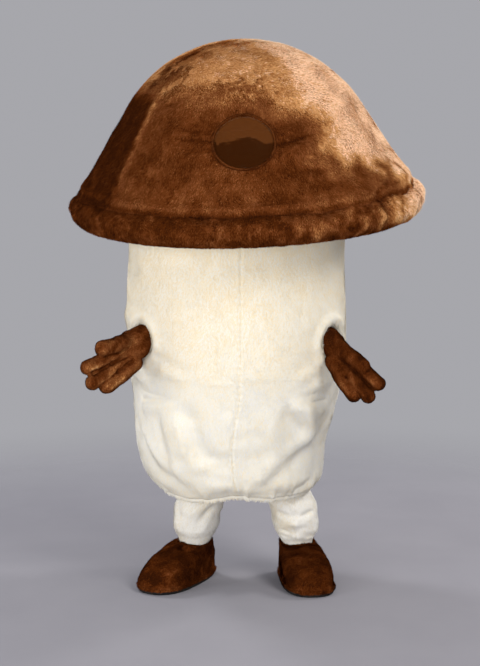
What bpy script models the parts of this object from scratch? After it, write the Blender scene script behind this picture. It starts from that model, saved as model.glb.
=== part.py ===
"""A walk-about mushroom costume in short plush, in the shape it has when worn.

A domed cap sits, tipped a little forward, on a foam-lined cream stem with two armholes. Gloves come out
of the armholes, and trouser legs come out of the hem and end in plush overshoes on flat soles. A helmet in
the cap and padded straps in the stem carry it on the wearer, who looks out of a round mesh window.

Metres, +Z up, the front facing -Y. The origin is on the floor under the middle of the cap's rim.
"""

import math

import bmesh
import bpy
from mathutils import Matrix, Vector

GAP = 0.0005  # between pieces that touch
TURN_STEPS = 36  # round every large turned piece
SMALL_TURN_STEPS = 24

# Cap, in a frame of its own at the middle of the rim
RIM_HEIGHT = 1.406
CAP_TIP_FORWARD = math.radians(8.3)
CAP_TIP_SIDEWAYS = math.radians(-2.1)
CROWN_HEIGHT = 0.558
CROWN_TOP_RADIUS = 0.494
CROWN_FLANK_TURN = math.radians(57.4)  # from upright to the flank's normal
CROWN_FOOT = 0.047
CROWN_ARC_STEPS = 6
PLUSH = 0.010
CAP_FOAM = 0.025
ROLL_RADIUS = 0.583
ROLL_THICKNESS = 0.060
ROLL_DROP = 0.012
UNDERSIDE_OUTER = 0.523
UNDERSIDE_INNER = 0.350
DECK_BOTTOM = 0.050
DECK_THICKNESS = 0.030
DECK_OUTER = 0.531
DECK_HOLE = 0.270

# The window in the cap's front, along the flank's normal
WINDOW_RADIUS = 0.096
WINDOW_BINDING = 0.008
WINDOW_DEPTH = 0.004
WINDOW_THICKNESS = 0.002
WINDOW_OUT = 0.463  # from the cap's axis
WINDOW_ASIDE = -0.002

# Helmet, in the cap's frame
HELMET_RADIUS = 0.122
HELMET_LEVEL = 0.228
HELMET_ARC = math.radians(78)  # from the top, so that its brim stays above the wearer's eyes
HELMET_WALL = 0.004
HELMET_LONGER = 1.14  # front to back over side to side
HELMET_PAD = 0.014
FRAME_BAR = 0.018
FRAME_FOOT_OUT = 0.300
CHIN_DROP = 0.205

# Stem
STEM_X = -0.034
STEM_PROFILE = (  # (height, outer radius) of the plush, from the cap down to the hem
    (1.600, 0.392),
    (1.200, 0.392),
    (0.950, 0.401),
    (0.800, 0.394),
    (0.716, 0.381),
    (0.660, 0.378),
    (0.590, 0.364),
    (0.520, 0.345),
    (0.450, 0.337),
    (0.395, 0.321),
    (0.358, 0.298),
    (0.344, 0.284),
)
STEM_PLUSH = 0.008
STEM_FOAM = 0.022
FOAM_FOOT = 0.724
DRAPE_DEPTH = 0.007
DRAPE_TOP = 0.700
DRAPE_ASIDE = -0.022
HOOP_THICKNESS = 0.006
HEM_THICKNESS = 0.008

# Armholes and gloves, each hand in a frame of its own at the wrist: along, across to the thumb, palm
ARMHOLE_RADIUS = 0.074
ARMHOLE_CUFF = 0.010
ARMHOLE_TURNS = {"left": math.radians(-56), "right": math.radians(57)}
ARMHOLE_HEIGHTS = {"left": 0.912, "right": 0.905}
GLOVE_WALL = 0.006
GLOVE_CUFF_RADIUS = 0.060
GLOVE_CUFF_INSIDE = 0.110
WRIST_OUT = 0.050
HAND_ALONG = {"left": (-0.439, -0.740, -0.508), "right": (0.265, -0.685, -0.681)}
HAND_ACROSS = {"left": (-0.632, -0.147, 0.760), "right": (0.857, -0.158, 0.492)}
PALM_LENGTH = 0.115
PALM_RADIUS = 0.038
KNUCKLE_SPACING = 0.038
FINGER_RADIUS = 0.029
FINGER_LENGTHS = (0.115, 0.125, 0.100)  # from the thumb's side
FINGER_SPREAD = 0.13
THUMB_RADIUS = 0.028
THUMB_ROOT = (0.030, 0.030, 0.012)
THUMB_TIPS = {"left": (0.154, 0.064, 0.034), "right": (0.175, 0.040, 0.036)}

# Straps, in the stem
STRAP_WIDTH = 0.045
PAD_THICKNESS = 0.014
PAD_ASIDE = 0.125
SHOULDER_HEIGHT = 1.395
BRACE_ASIDE = 0.105
BRACE_THICKNESS = 0.003
BRACE_RISE = 0.070
BRACE_LEAN = 0.035

# Trousers
TROUSER_WALL = 0.006
LEG_SIDES = 16
LEG_AXIS = (  # (height, distance to the side, distance to the back, radius)
    (0.070, 0.189, 0.002, 0.054),
    (0.142, 0.189, 0.002, 0.057),
    (0.178, 0.187, 0.003, 0.076),
    (0.270, 0.176, 0.005, 0.084),
    (0.346, 0.141, 0.008, 0.078),
    (0.540, 0.123, 0.016, 0.090),
    (0.760, 0.103, 0.024, 0.094),
)
HIP_PROFILE = ((1.000, 0.158), (0.900, 0.178), (0.800, 0.190), (0.740, 0.176), (0.705, 0.120))
HIP_BOTTOM = 0.690
HIP_FLATNESS = 0.72
HIP_Y = 0.022
WAISTBAND_HEIGHT = 0.035
WAISTBAND_THICKNESS = 0.007

# Overshoes, each in a frame at its ankle with the toe at -Y
SHOE_X = 0.190
SHOE_Y = 0.002
SHOE_TURNS = {"left": math.radians(-34), "right": math.radians(12)}
SHOE_STEPS = 28
SHOE_RINGS = 6
SHOE_WALL = 0.007
COLLAR_HEIGHT = 0.140
COLLAR_RADIUS = 0.068
COLLAR_DIP = 0.010
HEEL_BACK = 0.088
TOE_FRONT = 0.285
HEEL_HALF_WIDTH = 0.070
TOE_HALF_WIDTH = 0.098
OUTLINE_SQUARENESS = 0.80
SHOE_FULLNESS = 0.78  # from 0, straight down to the sole, to 1, a round dome
SOLE_THICKNESS = 0.024
SOLE_EDGE = 0.003

SIDES = {"left": -1, "right": 1}  # as the front view shows them


def clear_scene():
    for obj in list(bpy.data.objects):
        bpy.data.objects.remove(obj, do_unlink=True)


def collection(name):
    found = bpy.data.collections.new(name)
    bpy.context.scene.collection.children.link(found)
    return found


def material(name, colour, roughness, metallic=0.0):
    made = bpy.data.materials.new(name)
    made.use_nodes = True
    shader = made.node_tree.nodes["Principled BSDF"]
    shader.inputs["Base Color"].default_value = (*colour, 1)
    shader.inputs["Roughness"].default_value = roughness
    shader.inputs["Metallic"].default_value = metallic
    made.diffuse_color = (*colour, 1)
    return made


def placed(name, mesh, group, finish=None, parent=None, sharp_degrees=40):
    """A mesh object in its collection, shaded smooth but for its sharp edges."""
    obj = bpy.data.objects.new(name, mesh)
    group.objects.link(obj)
    obj.parent = parent
    mesh.shade_smooth()
    mesh.set_sharp_from_angle(angle=math.radians(sharp_degrees))
    if finish:
        mesh.materials.append(finish)
    return obj


def cutter(name, mesh, parent=None):
    """A helper that a Boolean uses and no render shows."""
    obj = placed(name, mesh, CUTTERS, parent=parent)
    obj.hide_render = True
    obj.display_type = "WIRE"
    return obj


def boolean(obj, other, operation="DIFFERENCE", solver="EXACT"):
    modifier = obj.modifiers.new(other.name, "BOOLEAN")
    modifier.object = other
    modifier.operation = operation
    modifier.solver = solver


def mesh_from(builder):
    """The mesh that a bmesh builder fills."""
    shape = bmesh.new()
    builder(shape)
    mesh = bpy.data.meshes.new("mesh")
    shape.to_mesh(mesh)
    shape.free()
    return mesh


def evaluated_mesh(obj):
    """The object's mesh with its modifiers applied, welded. The object is removed."""
    bpy.context.view_layer.update()
    graph = bpy.context.evaluated_depsgraph_get()
    mesh = bpy.data.meshes.new_from_object(obj.evaluated_get(graph))
    shape = bmesh.new()
    shape.from_mesh(mesh)
    bmesh.ops.remove_doubles(shape, verts=shape.verts, dist=1e-5)
    shape.to_mesh(mesh)
    shape.free()
    bpy.data.objects.remove(obj, do_unlink=True)
    return mesh


def turned(profile, steps=TURN_STEPS, closed=True):
    """A mesh turned about Z from (radius, height) points that run down the outside first."""
    def outline(shape):
        points = [shape.verts.new((radius, 0, height)) for radius, height in profile]
        for start, end in zip(points, points[1:]):
            shape.edges.new((start, end))
        if closed:
            shape.edges.new((points[-1], points[0]))

    obj = bpy.data.objects.new("profile", mesh_from(outline))
    CUTTERS.objects.link(obj)
    screw = obj.modifiers.new("Screw", "SCREW")
    screw.steps = steps
    screw.render_steps = steps
    screw.use_merge_vertices = True
    screw.merge_threshold = 1e-5
    return evaluated_mesh(obj)


def ring_of(radius, thickness, sides=8, height=0.0):
    """The (radius, height) points of a round ring's section."""
    turns = [-2 * math.pi * i / sides for i in range(sides)]
    return [(radius + thickness * math.cos(t), height + thickness * math.sin(t)) for t in turns]


def cylinder(radius, low, high, sides=TURN_STEPS):
    def build(shape):
        bmesh.ops.create_cone(
            shape,
            cap_ends=True,
            segments=sides,
            radius1=radius,
            radius2=radius,
            depth=high - low,
            matrix=Matrix.Translation((0, 0, (low + high) / 2)),
        )

    return mesh_from(build)


def tube(points, radii, sides):
    """A closed tube along points, from a curve with filled caps."""
    curve = bpy.data.curves.new("tube", "CURVE")
    curve.dimensions = "3D"
    curve.bevel_depth = 1.0
    curve.bevel_resolution = (sides - 4) // 2
    curve.use_fill_caps = True
    spline = curve.splines.new("POLY")
    spline.points.add(len(points) - 1)
    for target, point, radius in zip(spline.points, points, radii):
        target.co = (*point, 1)
        target.radius = radius
    obj = bpy.data.objects.new("tube", curve)
    CUTTERS.objects.link(obj)
    return evaluated_mesh(obj)


def capsule(start, end, start_radius, end_radius, sides=10, rings=7):
    """A sphere stretched from start to end. An odd count of rings has no equator to skew."""
    start, end = Vector(start), Vector(end)
    turn = (end - start).to_track_quat("Z", "Y")

    def build(shape):
        bmesh.ops.create_uvsphere(shape, u_segments=sides, v_segments=rings, radius=1)
        for vert in shape.verts:
            near, radius = (end, end_radius) if vert.co.z > 0 else (start, start_radius)
            vert.co = near + turn @ (vert.co * radius)

    return mesh_from(build)


def arch(points, thickness, width):
    """A strap along (y, z) points, thickness deep and width wide along X, as a filled outline."""
    path = [Vector(p) for p in points]
    outer, inner = [], []
    for before, point, after in zip(path[:1] + path[:-1], path, path[1:] + path[-1:]):
        along = (after - before).normalized()
        across = Vector((-along.y, along.x)) * thickness / 2
        outer.append(point + across)
        inner.append(point - across)
    curve = bpy.data.curves.new("strap", "CURVE")
    curve.dimensions = "2D"
    curve.fill_mode = "BOTH"
    curve.extrude = width / 2
    spline = curve.splines.new("POLY")
    outline = outer + inner[::-1]
    spline.points.add(len(outline) - 1)
    for target, point in zip(spline.points, outline):
        target.co = (point.x, point.y, 0, 1)
    spline.use_cyclic_u = True
    obj = bpy.data.objects.new("strap", curve)
    CUTTERS.objects.link(obj)
    mesh = evaluated_mesh(obj)
    # The outline's plane turns from XY to YZ, and its depth comes to lie along X.
    mesh.transform(Matrix(((0, 0, 1, 0), (1, 0, 0, 0), (0, 1, 0, 0), (0, 0, 0, 1))))
    return mesh


def crown_profile(inset, foot=CROWN_FOOT):
    """(radius, height) points down the crown: a round top, then a straight flank."""
    centre = CROWN_HEIGHT - CROWN_TOP_RADIUS
    radius = CROWN_TOP_RADIUS - inset
    turns = [CROWN_FLANK_TURN * i / CROWN_ARC_STEPS for i in range(CROWN_ARC_STEPS + 1)]
    points = [(radius * math.sin(t), centre + radius * math.cos(t)) for t in turns]
    out, up = points[-1]
    drop = up - foot
    return points + [(out + drop / math.tan(CROWN_FLANK_TURN), foot)]


def crown_shell(inset, thickness):
    """The crown's surface, inset so deep, as a wall of this thickness."""
    return turned(crown_profile(inset) + crown_profile(inset + thickness)[::-1], closed=False)


def cap_frame():
    frame = bpy.data.objects.new("cap_frame", None)
    PARTS.objects.link(frame)
    frame.location = (0, 0, RIM_HEIGHT)
    frame.rotation_euler = (CAP_TIP_FORWARD, CAP_TIP_SIDEWAYS, 0)
    return frame


def window_axis(mesh):
    """Moves a mesh built along Z onto the window's axis, with Z = 0 on the crown's surface."""
    foot_out = crown_profile(0)[-1][0]
    flank_rise = (foot_out - WINDOW_OUT) * math.tan(CROWN_FLANK_TURN)
    centre = Vector((WINDOW_ASIDE, -WINDOW_OUT, CROWN_FOOT + flank_rise))
    turn = Matrix.Rotation(CROWN_FLANK_TURN, 4, "X")
    mesh.transform(Matrix.Translation(centre) @ turn)
    return mesh


def build_crown(frame):
    hole = cutter(
        "window_hole",
        window_axis(cylinder(WINDOW_RADIUS + WINDOW_BINDING + GAP, -0.08, 0.05, SMALL_TURN_STEPS)),
        frame,
    )
    plush = placed("cap_plush", crown_shell(0, PLUSH), PARTS, BROWN_PLUSH, frame)
    foam = placed("cap_foam", crown_shell(PLUSH + GAP, CAP_FOAM), PARTS, FOAM, frame)
    boolean(plush, hole)
    boolean(foam, hole)


def build_window(frame):
    """The see-through mesh and its binding follow the crown's surface inside the hole."""
    disc = cutter(
        "window_disc", window_axis(cylinder(WINDOW_RADIUS, -0.05, 0.05, SMALL_TURN_STEPS)), frame
    )
    mesh = crown_shell(WINDOW_DEPTH, WINDOW_THICKNESS)
    window = placed("cap_window", mesh, PARTS, DARK_MESH, frame)
    boolean(window, disc, "INTERSECT")
    section = [
        (WINDOW_RADIUS + WINDOW_BINDING, 0.05),
        (WINDOW_RADIUS + WINDOW_BINDING, -0.05),
        (WINDOW_RADIUS + GAP, -0.05),
        (WINDOW_RADIUS + GAP, 0.05),
    ]
    sleeve = cutter("window_sleeve", window_axis(turned(section, SMALL_TURN_STEPS)), frame)
    binding = placed("window_binding", crown_shell(-0.001, PLUSH), PARTS, BROWN_BINDING, frame)
    boolean(binding, sleeve, "INTERSECT")


def build_rim(frame):
    roll = ring_of(ROLL_RADIUS, ROLL_THICKNESS, 10, -ROLL_DROP)
    placed("cap_rim_roll", turned(roll), PARTS, BROWN_PLUSH, frame)
    section = [
        (UNDERSIDE_OUTER, -0.030),
        (UNDERSIDE_OUTER, -0.038),
        (UNDERSIDE_INNER, -0.048),
        (UNDERSIDE_INNER, -0.040),
    ]
    underside = placed("cap_underside", turned(section), PARTS, CREAM_PLUSH, frame)
    mesh = cylinder(STEM_PROFILE[0][1] + 0.003, RIM_HEIGHT - 0.3, RIM_HEIGHT + 0.3)
    mesh.transform(Matrix.Translation((STEM_X, 0, 0)))
    boolean(underside, cutter("stem_hole", mesh))


def build_deck(frame):
    """The foam board that the stem carries, and that carries the crown and the helmet."""
    top = DECK_BOTTOM + DECK_THICKNESS
    section = [
        (DECK_OUTER, top),
        (DECK_OUTER, DECK_BOTTOM),
        (DECK_HOLE, DECK_BOTTOM),
        (DECK_HOLE, top),
    ]
    placed("cap_deck", turned(section), PARTS, FOAM, frame)


def helmet_profile(inset):
    radius = HELMET_RADIUS - inset
    turns = [HELMET_ARC * i / 6 for i in range(7)]
    return [(radius * math.sin(t), HELMET_LEVEL + radius * math.cos(t)) for t in turns]


def helmet_bowl(inset, thickness):
    """A bowl of the helmet's shape, inset so deep, longer from front to back."""
    section = helmet_profile(inset) + helmet_profile(inset + thickness)[::-1]
    mesh = turned(section, SMALL_TURN_STEPS, closed=False)
    mesh.transform(Matrix.Diagonal((1, HELMET_LONGER, 1, 1)))
    return mesh


def build_helmet(frame):
    placed("helmet_shell", helmet_bowl(0, HELMET_WALL), PARTS, BLACK_PLASTIC, frame)
    placed("helmet_pad", helmet_bowl(HELMET_WALL + GAP, HELMET_PAD), PARTS, FOAM, frame)
    build_helmet_frame(frame)
    # The chin strap runs from one side of the brim to the other, under the wearer's chin.
    brim = helmet_profile(0)[-1][1]
    half = HELMET_RADIUS + 0.004
    below = [math.pi * i / 10 for i in range(11)]
    depth = CHIN_DROP - 0.120
    curve = [(-half * math.cos(t), brim - 0.120 - depth * math.sin(t)) for t in below]
    mesh = arch([(-half, brim - 0.002)] + curve + [(half, brim - 0.002)], 0.003, 0.020)
    mesh.transform(Matrix.Rotation(math.radians(90), 4, "Z"))
    placed("chin_strap", mesh, PARTS, BLACK_WEBBING, frame)


def build_helmet_frame(frame):
    """A hoop round the helmet's brim with four bars down to feet on the deck, in one piece."""
    low = helmet_profile(0)[-1][1]
    inner = HELMET_RADIUS + GAP
    section = [
        (inner + 0.006, low + FRAME_BAR),
        (inner + 0.006, low),
        (inner, low),
        (inner, low + FRAME_BAR),
    ]
    mesh = turned(section, SMALL_TURN_STEPS)
    mesh.transform(Matrix.Diagonal((1, HELMET_LONGER, 1, 1)))
    hoop = placed("helmet_frame", mesh, PARTS, BLACK_PLASTIC, frame)
    floor = DECK_BOTTOM + DECK_THICKNESS + GAP
    # The hoop is an ellipse, and this is its radius where a bar meets it.
    reach = inner * math.sqrt(2) / math.hypot(1, 1 / HELMET_LONGER) + 0.004
    for turn_degrees in (45, 135, 225, 315):
        turn = Matrix.Rotation(math.radians(turn_degrees), 4, "Z")
        foot = Vector((FRAME_FOOT_OUT, 0, floor + 0.007))
        mesh = tube([Vector((reach, 0, low + FRAME_BAR / 2)), foot], [0.007, 0.007], 8)
        mesh.transform(turn)
        boolean(hoop, cutter(f"frame_bar_{turn_degrees}", mesh, frame), "UNION")
        mesh = cylinder(0.020, floor, floor + 0.010, 12)
        mesh.transform(turn @ Matrix.Translation((FRAME_FOOT_OUT, 0, 0)))
        boolean(hoop, cutter(f"frame_foot_{turn_degrees}", mesh, frame), "UNION")


def stem_radius(height):
    """The plush's outer radius at a height, smoothed between the profile's points."""
    rows = STEM_PROFILE
    for i in range(len(rows) - 1):
        (high, above), (low, below) = rows[i], rows[i + 1]
        if height >= low:
            share = min(1, (high - height) / (high - low))
            return above + (below - above) * share
    return rows[-1][1]


def drape(turn, height):
    """How far the loose lower plush hangs out, in slanting folds that fade to nothing at both ends."""
    low = STEM_PROFILE[-1][0]
    share = (height - low) / (DRAPE_TOP - low)
    if not 0 < share < 1:
        return 0
    folds = math.sin(5 * turn + 9 * share + 0.6) + 0.7 * math.sin(8 * turn - 7 * share + 2.0)
    return DRAPE_DEPTH * math.sin(math.pi * share) * folds / 1.7


def draped(mesh):
    """Moves a turned mesh's points out by the folds, and over to the stem's place."""
    low = STEM_PROFILE[-1][0]
    for vert in mesh.vertices:
        out = math.hypot(vert.co.x, vert.co.y)
        grown = 1 + drape(math.atan2(vert.co.x, -vert.co.y), vert.co.z) / out
        share = min(1, (vert.co.z - low) / (DRAPE_TOP - low))
        aside = STEM_X + DRAPE_ASIDE * math.sin(math.pi * share)
        vert.co = (vert.co.x * grown + aside, vert.co.y * grown, vert.co.z)
    return mesh


def armhole_place(side):
    """The armhole's centre on the plush, and the way out through it."""
    turn = ARMHOLE_TURNS[side]
    out = Vector((math.sin(turn), -math.cos(turn), 0))
    height = ARMHOLE_HEIGHTS[side]
    return Vector((STEM_X, 0, height)) + out * stem_radius(height), out


def along_armhole(side, mesh):
    """Moves a mesh built along Z onto the armhole's axis, with Z = 0 on the plush's surface."""
    centre, out = armhole_place(side)
    turn = out.to_track_quat("Z", "Y").to_matrix().to_4x4()
    mesh.transform(Matrix.Translation(centre) @ turn)
    return mesh


def build_stem(frame):
    above_deck = cutter(
        "above_deck", cylinder(0.6, DECK_BOTTOM - GAP, DECK_BOTTOM + 0.4), frame
    )
    outer = [(radius, height) for height, radius in STEM_PROFILE]
    inner = [(radius - STEM_PLUSH, height) for radius, height in outer]
    plush = placed("stem_plush", draped(turned(outer + inner[::-1])), PARTS, CREAM_PLUSH)
    boolean(plush, above_deck)
    lined = [height for height, radius in STEM_PROFILE if height > FOAM_FOOT] + [FOAM_FOOT]
    depth = STEM_PLUSH + GAP
    outer = [(stem_radius(height) - depth, height) for height in lined]
    inner = [(radius - STEM_FOAM, height) for radius, height in outer]
    foam = placed("stem_foam", draped(turned(outer + inner[::-1])), PARTS, FOAM)
    boolean(foam, above_deck)
    for side in SIDES:
        mesh = cylinder(ARMHOLE_RADIUS + GAP, -0.09, 0.06, SMALL_TURN_STEPS)
        hole = cutter(f"armhole_{side}", along_armhole(side, mesh))
        boolean(plush, hole)
        boolean(foam, hole)


def build_hoops():
    radius = stem_radius(FOAM_FOOT) - STEM_PLUSH - HOOP_THICKNESS - 0.003
    height = FOAM_FOOT - HOOP_THICKNESS - GAP
    hoop = turned(ring_of(radius, HOOP_THICKNESS, 8, height))
    hoop.transform(Matrix.Translation((STEM_X, 0, 0)))
    placed("stem_hoop", hoop, PARTS, BLACK_PLASTIC)
    low, radius = STEM_PROFILE[-1]
    centre = radius - STEM_PLUSH / 2
    hem = turned(ring_of(centre, HEM_THICKNESS, 8, low - HEM_THICKNESS - GAP))
    hem.transform(Matrix.Translation((STEM_X, 0, 0)))
    placed("stem_hem", hem, PARTS, CREAM_PLUSH)


def build_armhole_cuff(side):
    """An elastic ring that lines the armhole and holds the glove."""
    inner = ARMHOLE_RADIUS - ARMHOLE_CUFF
    section = [
        (ARMHOLE_RADIUS, 0.004),
        (ARMHOLE_RADIUS, -0.034),
        (inner, -0.034),
        (inner, 0.004),
        (inner + ARMHOLE_CUFF / 2, 0.008),
    ]
    mesh = along_armhole(side, turned(section, SMALL_TURN_STEPS))
    placed(f"armhole_cuff_{side}", mesh, PARTS, CREAM_PLUSH)


def glove_capsules(side, shrink, longer):
    """The glove's rounded lengths, each thinner by shrink, with the cuff so much longer inside."""
    centre, out = armhole_place(side)
    along = Vector(HAND_ALONG[side]).normalized()
    across = Vector(HAND_ACROSS[side])
    across = (across - along * across.dot(along)).normalized()
    palm = along.cross(across) * SIDES[side]
    wrist = centre + out * WRIST_OUT
    cuff = GLOVE_CUFF_RADIUS - shrink
    yield centre - out * (GLOVE_CUFF_INSIDE + longer), wrist, cuff, cuff - 0.006
    for place, length in zip((1, 0, -1), FINGER_LENGTHS):
        root = wrist + across * (0.018 * place)
        knuckle = wrist + along * PALM_LENGTH + across * (KNUCKLE_SPACING * place)
        reach = along + across * (FINGER_SPREAD * place)
        yield root, knuckle, PALM_RADIUS - shrink, PALM_RADIUS - 0.004 - shrink
        tip = knuckle + reach * length
        yield knuckle, tip, FINGER_RADIUS + 0.002 - shrink, FINGER_RADIUS - shrink
    hand = Matrix((along, across, palm)).transposed()
    root = wrist + hand @ Vector(THUMB_ROOT)
    tip = wrist + hand @ Vector(THUMB_TIPS[side])
    yield root, tip, THUMB_RADIUS + 0.003 - shrink, THUMB_RADIUS - shrink


def build_glove(side):
    """A hollow glove with a thumb and three fingers, open where its cuff ends inside the stem."""
    glove = None
    for i, shape in enumerate(glove_capsules(side, 0, 0)):
        if glove is None:
            glove = placed(f"glove_{side}", capsule(*shape, sides=14), PARTS, BROWN_PLUSH)
        else:
            other = cutter(f"glove_{side}_outer_{i}", capsule(*shape))
            boolean(glove, other, "UNION", "MANIFOLD")
    for i, shape in enumerate(glove_capsules(side, GLOVE_WALL, 0.090)):
        sides = 14 if i == 0 else 10
        inner = cutter(f"glove_{side}_inner_{i}", capsule(*shape, sides=sides))
        boolean(glove, inner, solver="MANIFOLD")


def build_straps():
    """Foam pads on the wearer's shoulders that the stem hangs from, and the trousers' braces."""
    for side, sign in SIDES.items():
        wall = stem_radius(1.25) - STEM_PLUSH - STEM_FOAM - 2 * GAP
        reach = math.sqrt(wall**2 - (PAD_ASIDE + STRAP_WIDTH / 2) ** 2) - 0.003
        top = SHOULDER_HEIGHT + PAD_THICKNESS / 2 + GAP
        steps = 12
        shares = [2 * i / steps - 1 for i in range(steps + 1)]
        points = [(reach * s, top - 0.10 * (1 - math.cos(math.pi * s)) / 2) for s in shares]
        mesh = arch(points, PAD_THICKNESS, STRAP_WIDTH)
        mesh.transform(Matrix.Translation((STEM_X + sign * PAD_ASIDE, 0, 0)))
        placed(f"shoulder_pad_{side}", mesh, PARTS, BLACK_WEBBING)
        build_brace(side, sign)


def build_brace(side, sign):
    """A brace from the outside of the waistband's front, over the shoulder, to its back."""
    waist = HIP_PROFILE[0][1] + WAISTBAND_THICKNESS + GAP + BRACE_THICKNESS
    edge = (BRACE_ASIDE - STRAP_WIDTH / 4) / waist
    front = HIP_FLATNESS * waist * math.sqrt(1 - edge**2) + 0.001
    waist_top = HIP_PROFILE[0][0] + WAISTBAND_HEIGHT + GAP
    chest = SHOULDER_HEIGHT - BRACE_THICKNESS - 0.002 - BRACE_RISE
    over = [math.pi * i / 8 for i in range(9)]
    reach = front - BRACE_LEAN
    points = [(-front, waist_top - WAISTBAND_HEIGHT), (-front, waist_top)]
    points += [(-reach * math.cos(t), chest + BRACE_RISE * math.sin(t)) for t in over]
    points += [(front, waist_top), (front, waist_top - WAISTBAND_HEIGHT)]
    mesh = arch(points, BRACE_THICKNESS, STRAP_WIDTH / 2)
    mesh.transform(Matrix.Translation((sign * BRACE_ASIDE, HIP_Y, 0)))
    placed(f"brace_{side}", mesh, PARTS, BLACK_WEBBING)


def leg_tube(sign, shrink, longer):
    rows = list(LEG_AXIS)
    height, aside, back, radius = rows[0]
    rows[0] = (height - longer, aside, back, radius)
    points = [(sign * aside, back, height) for height, aside, back, radius in rows]
    return tube(points, [row[3] - shrink for row in rows], LEG_SIDES)


def hip_shape(shrink, longer):
    profile = [(radius - shrink, height) for height, radius in HIP_PROFILE]
    profile[0] = (profile[0][0], profile[0][1] + longer)
    profile = [(0, profile[0][1])] + profile + [(0, HIP_BOTTOM + shrink)]
    mesh = turned(profile, SMALL_TURN_STEPS, closed=False)
    mesh.transform(Matrix.Translation((0, HIP_Y, 0)) @ Matrix.Diagonal((1, HIP_FLATNESS, 1, 1)))
    return mesh


def build_trousers():
    """Plush trousers as one hollow piece, open at the waist and at both ankles."""
    trousers = placed("trousers", hip_shape(0, 0), PARTS, CREAM_PLUSH)
    for side, sign in SIDES.items():
        leg = cutter(f"leg_{side}_outer", leg_tube(sign, 0, 0))
        boolean(trousers, leg, "UNION", "MANIFOLD")
    boolean(trousers, cutter("hips_inner", hip_shape(TROUSER_WALL, 0.05)), solver="MANIFOLD")
    for side, sign in SIDES.items():
        leg = cutter(f"leg_{side}_inner", leg_tube(sign, TROUSER_WALL, 0.05))
        boolean(trousers, leg, solver="MANIFOLD")
    top, radius = HIP_PROFILE[0]
    low = top + GAP
    section = [
        (radius + WAISTBAND_THICKNESS, low + WAISTBAND_HEIGHT),
        (radius + WAISTBAND_THICKNESS, low),
        (radius - TROUSER_WALL, low),
        (radius - TROUSER_WALL, low + WAISTBAND_HEIGHT),
    ]
    mesh = turned(section, SMALL_TURN_STEPS)
    mesh.transform(Matrix.Translation((0, HIP_Y, 0)) @ Matrix.Diagonal((1, HIP_FLATNESS, 1, 1)))
    placed("waistband", mesh, PARTS, BLACK_WEBBING)


def sole_point(turn, inset=0.0):
    """A point of the sole's outline. Turn 0 is the toe, and a squarish oval widens towards it."""
    middle = (HEEL_BACK - TOE_FRONT) / 2
    half = (HEEL_BACK + TOE_FRONT) / 2 - inset
    ahead = math.copysign(abs(math.cos(turn)) ** OUTLINE_SQUARENESS, math.cos(turn))
    aside = math.copysign(abs(math.sin(turn)) ** OUTLINE_SQUARENESS, math.sin(turn))
    widening = (1 + math.sin(math.pi / 2 * ahead)) / 2
    width = HEEL_HALF_WIDTH + (TOE_HALF_WIDTH - HEEL_HALF_WIDTH) * widening - inset
    return Vector((width * aside, middle - half * ahead))


def shoe_ring(turn, share, inset):
    """A point of the upper: share 0 on the round collar, 1 on the sole's outline."""
    collar = Vector((math.sin(turn), -math.cos(turn))) * (COLLAR_RADIUS - inset)
    dome_out, dome_down = math.sin(math.pi / 2 * share), 1 - math.cos(math.pi / 2 * share)
    out = share + (dome_out - share) * SHOE_FULLNESS
    down = share + (dome_down - share) * SHOE_FULLNESS
    place = collar.lerp(sole_point(turn, inset), out)
    top = COLLAR_HEIGHT - COLLAR_DIP * (1 + math.cos(turn)) / 2
    low = SOLE_THICKNESS + GAP
    lift = -inset * math.sin(math.pi * share) * 0.8
    return (place.x, place.y, top + (low - top) * down + lift)


def build_shoe(side):
    """A hollow plush upper, lofted from the ankle's collar to the sole, on a flat sole."""
    turns = [2 * math.pi * i / SHOE_STEPS for i in range(SHOE_STEPS)]
    shares = [i / (SHOE_RINGS - 1) for i in range(SHOE_RINGS)]

    def loft(shape):
        rows = [(share, 0.0) for share in shares] + [(share, SHOE_WALL) for share in shares[::-1]]
        rings = [[shape.verts.new(shoe_ring(t, s, inset)) for t in turns] for s, inset in rows]
        for upper, lower in zip(rings, rings[1:] + rings[:1]):
            for i in range(SHOE_STEPS):
                j = (i + 1) % SHOE_STEPS
                shape.faces.new((upper[i], lower[i], lower[j], upper[j]))
        bmesh.ops.recalc_face_normals(shape, faces=shape.faces)

    def slab(shape):
        points = [sole_point(turn, -0.001) for turn in turns]
        face = shape.faces.new([shape.verts.new((p.x, p.y, 0)) for p in points])
        grown = bmesh.ops.extrude_face_region(shape, geom=[face])["geom"]
        for vert in (item for item in grown if isinstance(item, bmesh.types.BMVert)):
            vert.co.z = SOLE_THICKNESS
        bmesh.ops.recalc_face_normals(shape, faces=shape.faces)

    upper = placed(f"shoe_upper_{side}", mesh_from(loft), PARTS, BROWN_PLUSH)
    sole = placed(f"shoe_sole_{side}", mesh_from(slab), PARTS, BLACK_RUBBER)
    edge = sole.modifiers.new("Edge", "BEVEL")
    edge.width = SOLE_EDGE
    edge.segments = 1
    edge.limit_method = "ANGLE"
    for obj in (upper, sole):
        obj.location = (SIDES[side] * SHOE_X, SHOE_Y, 0)
        obj.rotation_euler.z = SHOE_TURNS[side]


def build_costume():
    frame = cap_frame()
    build_crown(frame)
    build_window(frame)
    build_rim(frame)
    build_deck(frame)
    build_helmet(frame)
    build_stem(frame)
    build_hoops()
    build_straps()
    build_trousers()
    for side in SIDES:
        build_armhole_cuff(side)
        build_glove(side)
        build_shoe(side)


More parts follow.
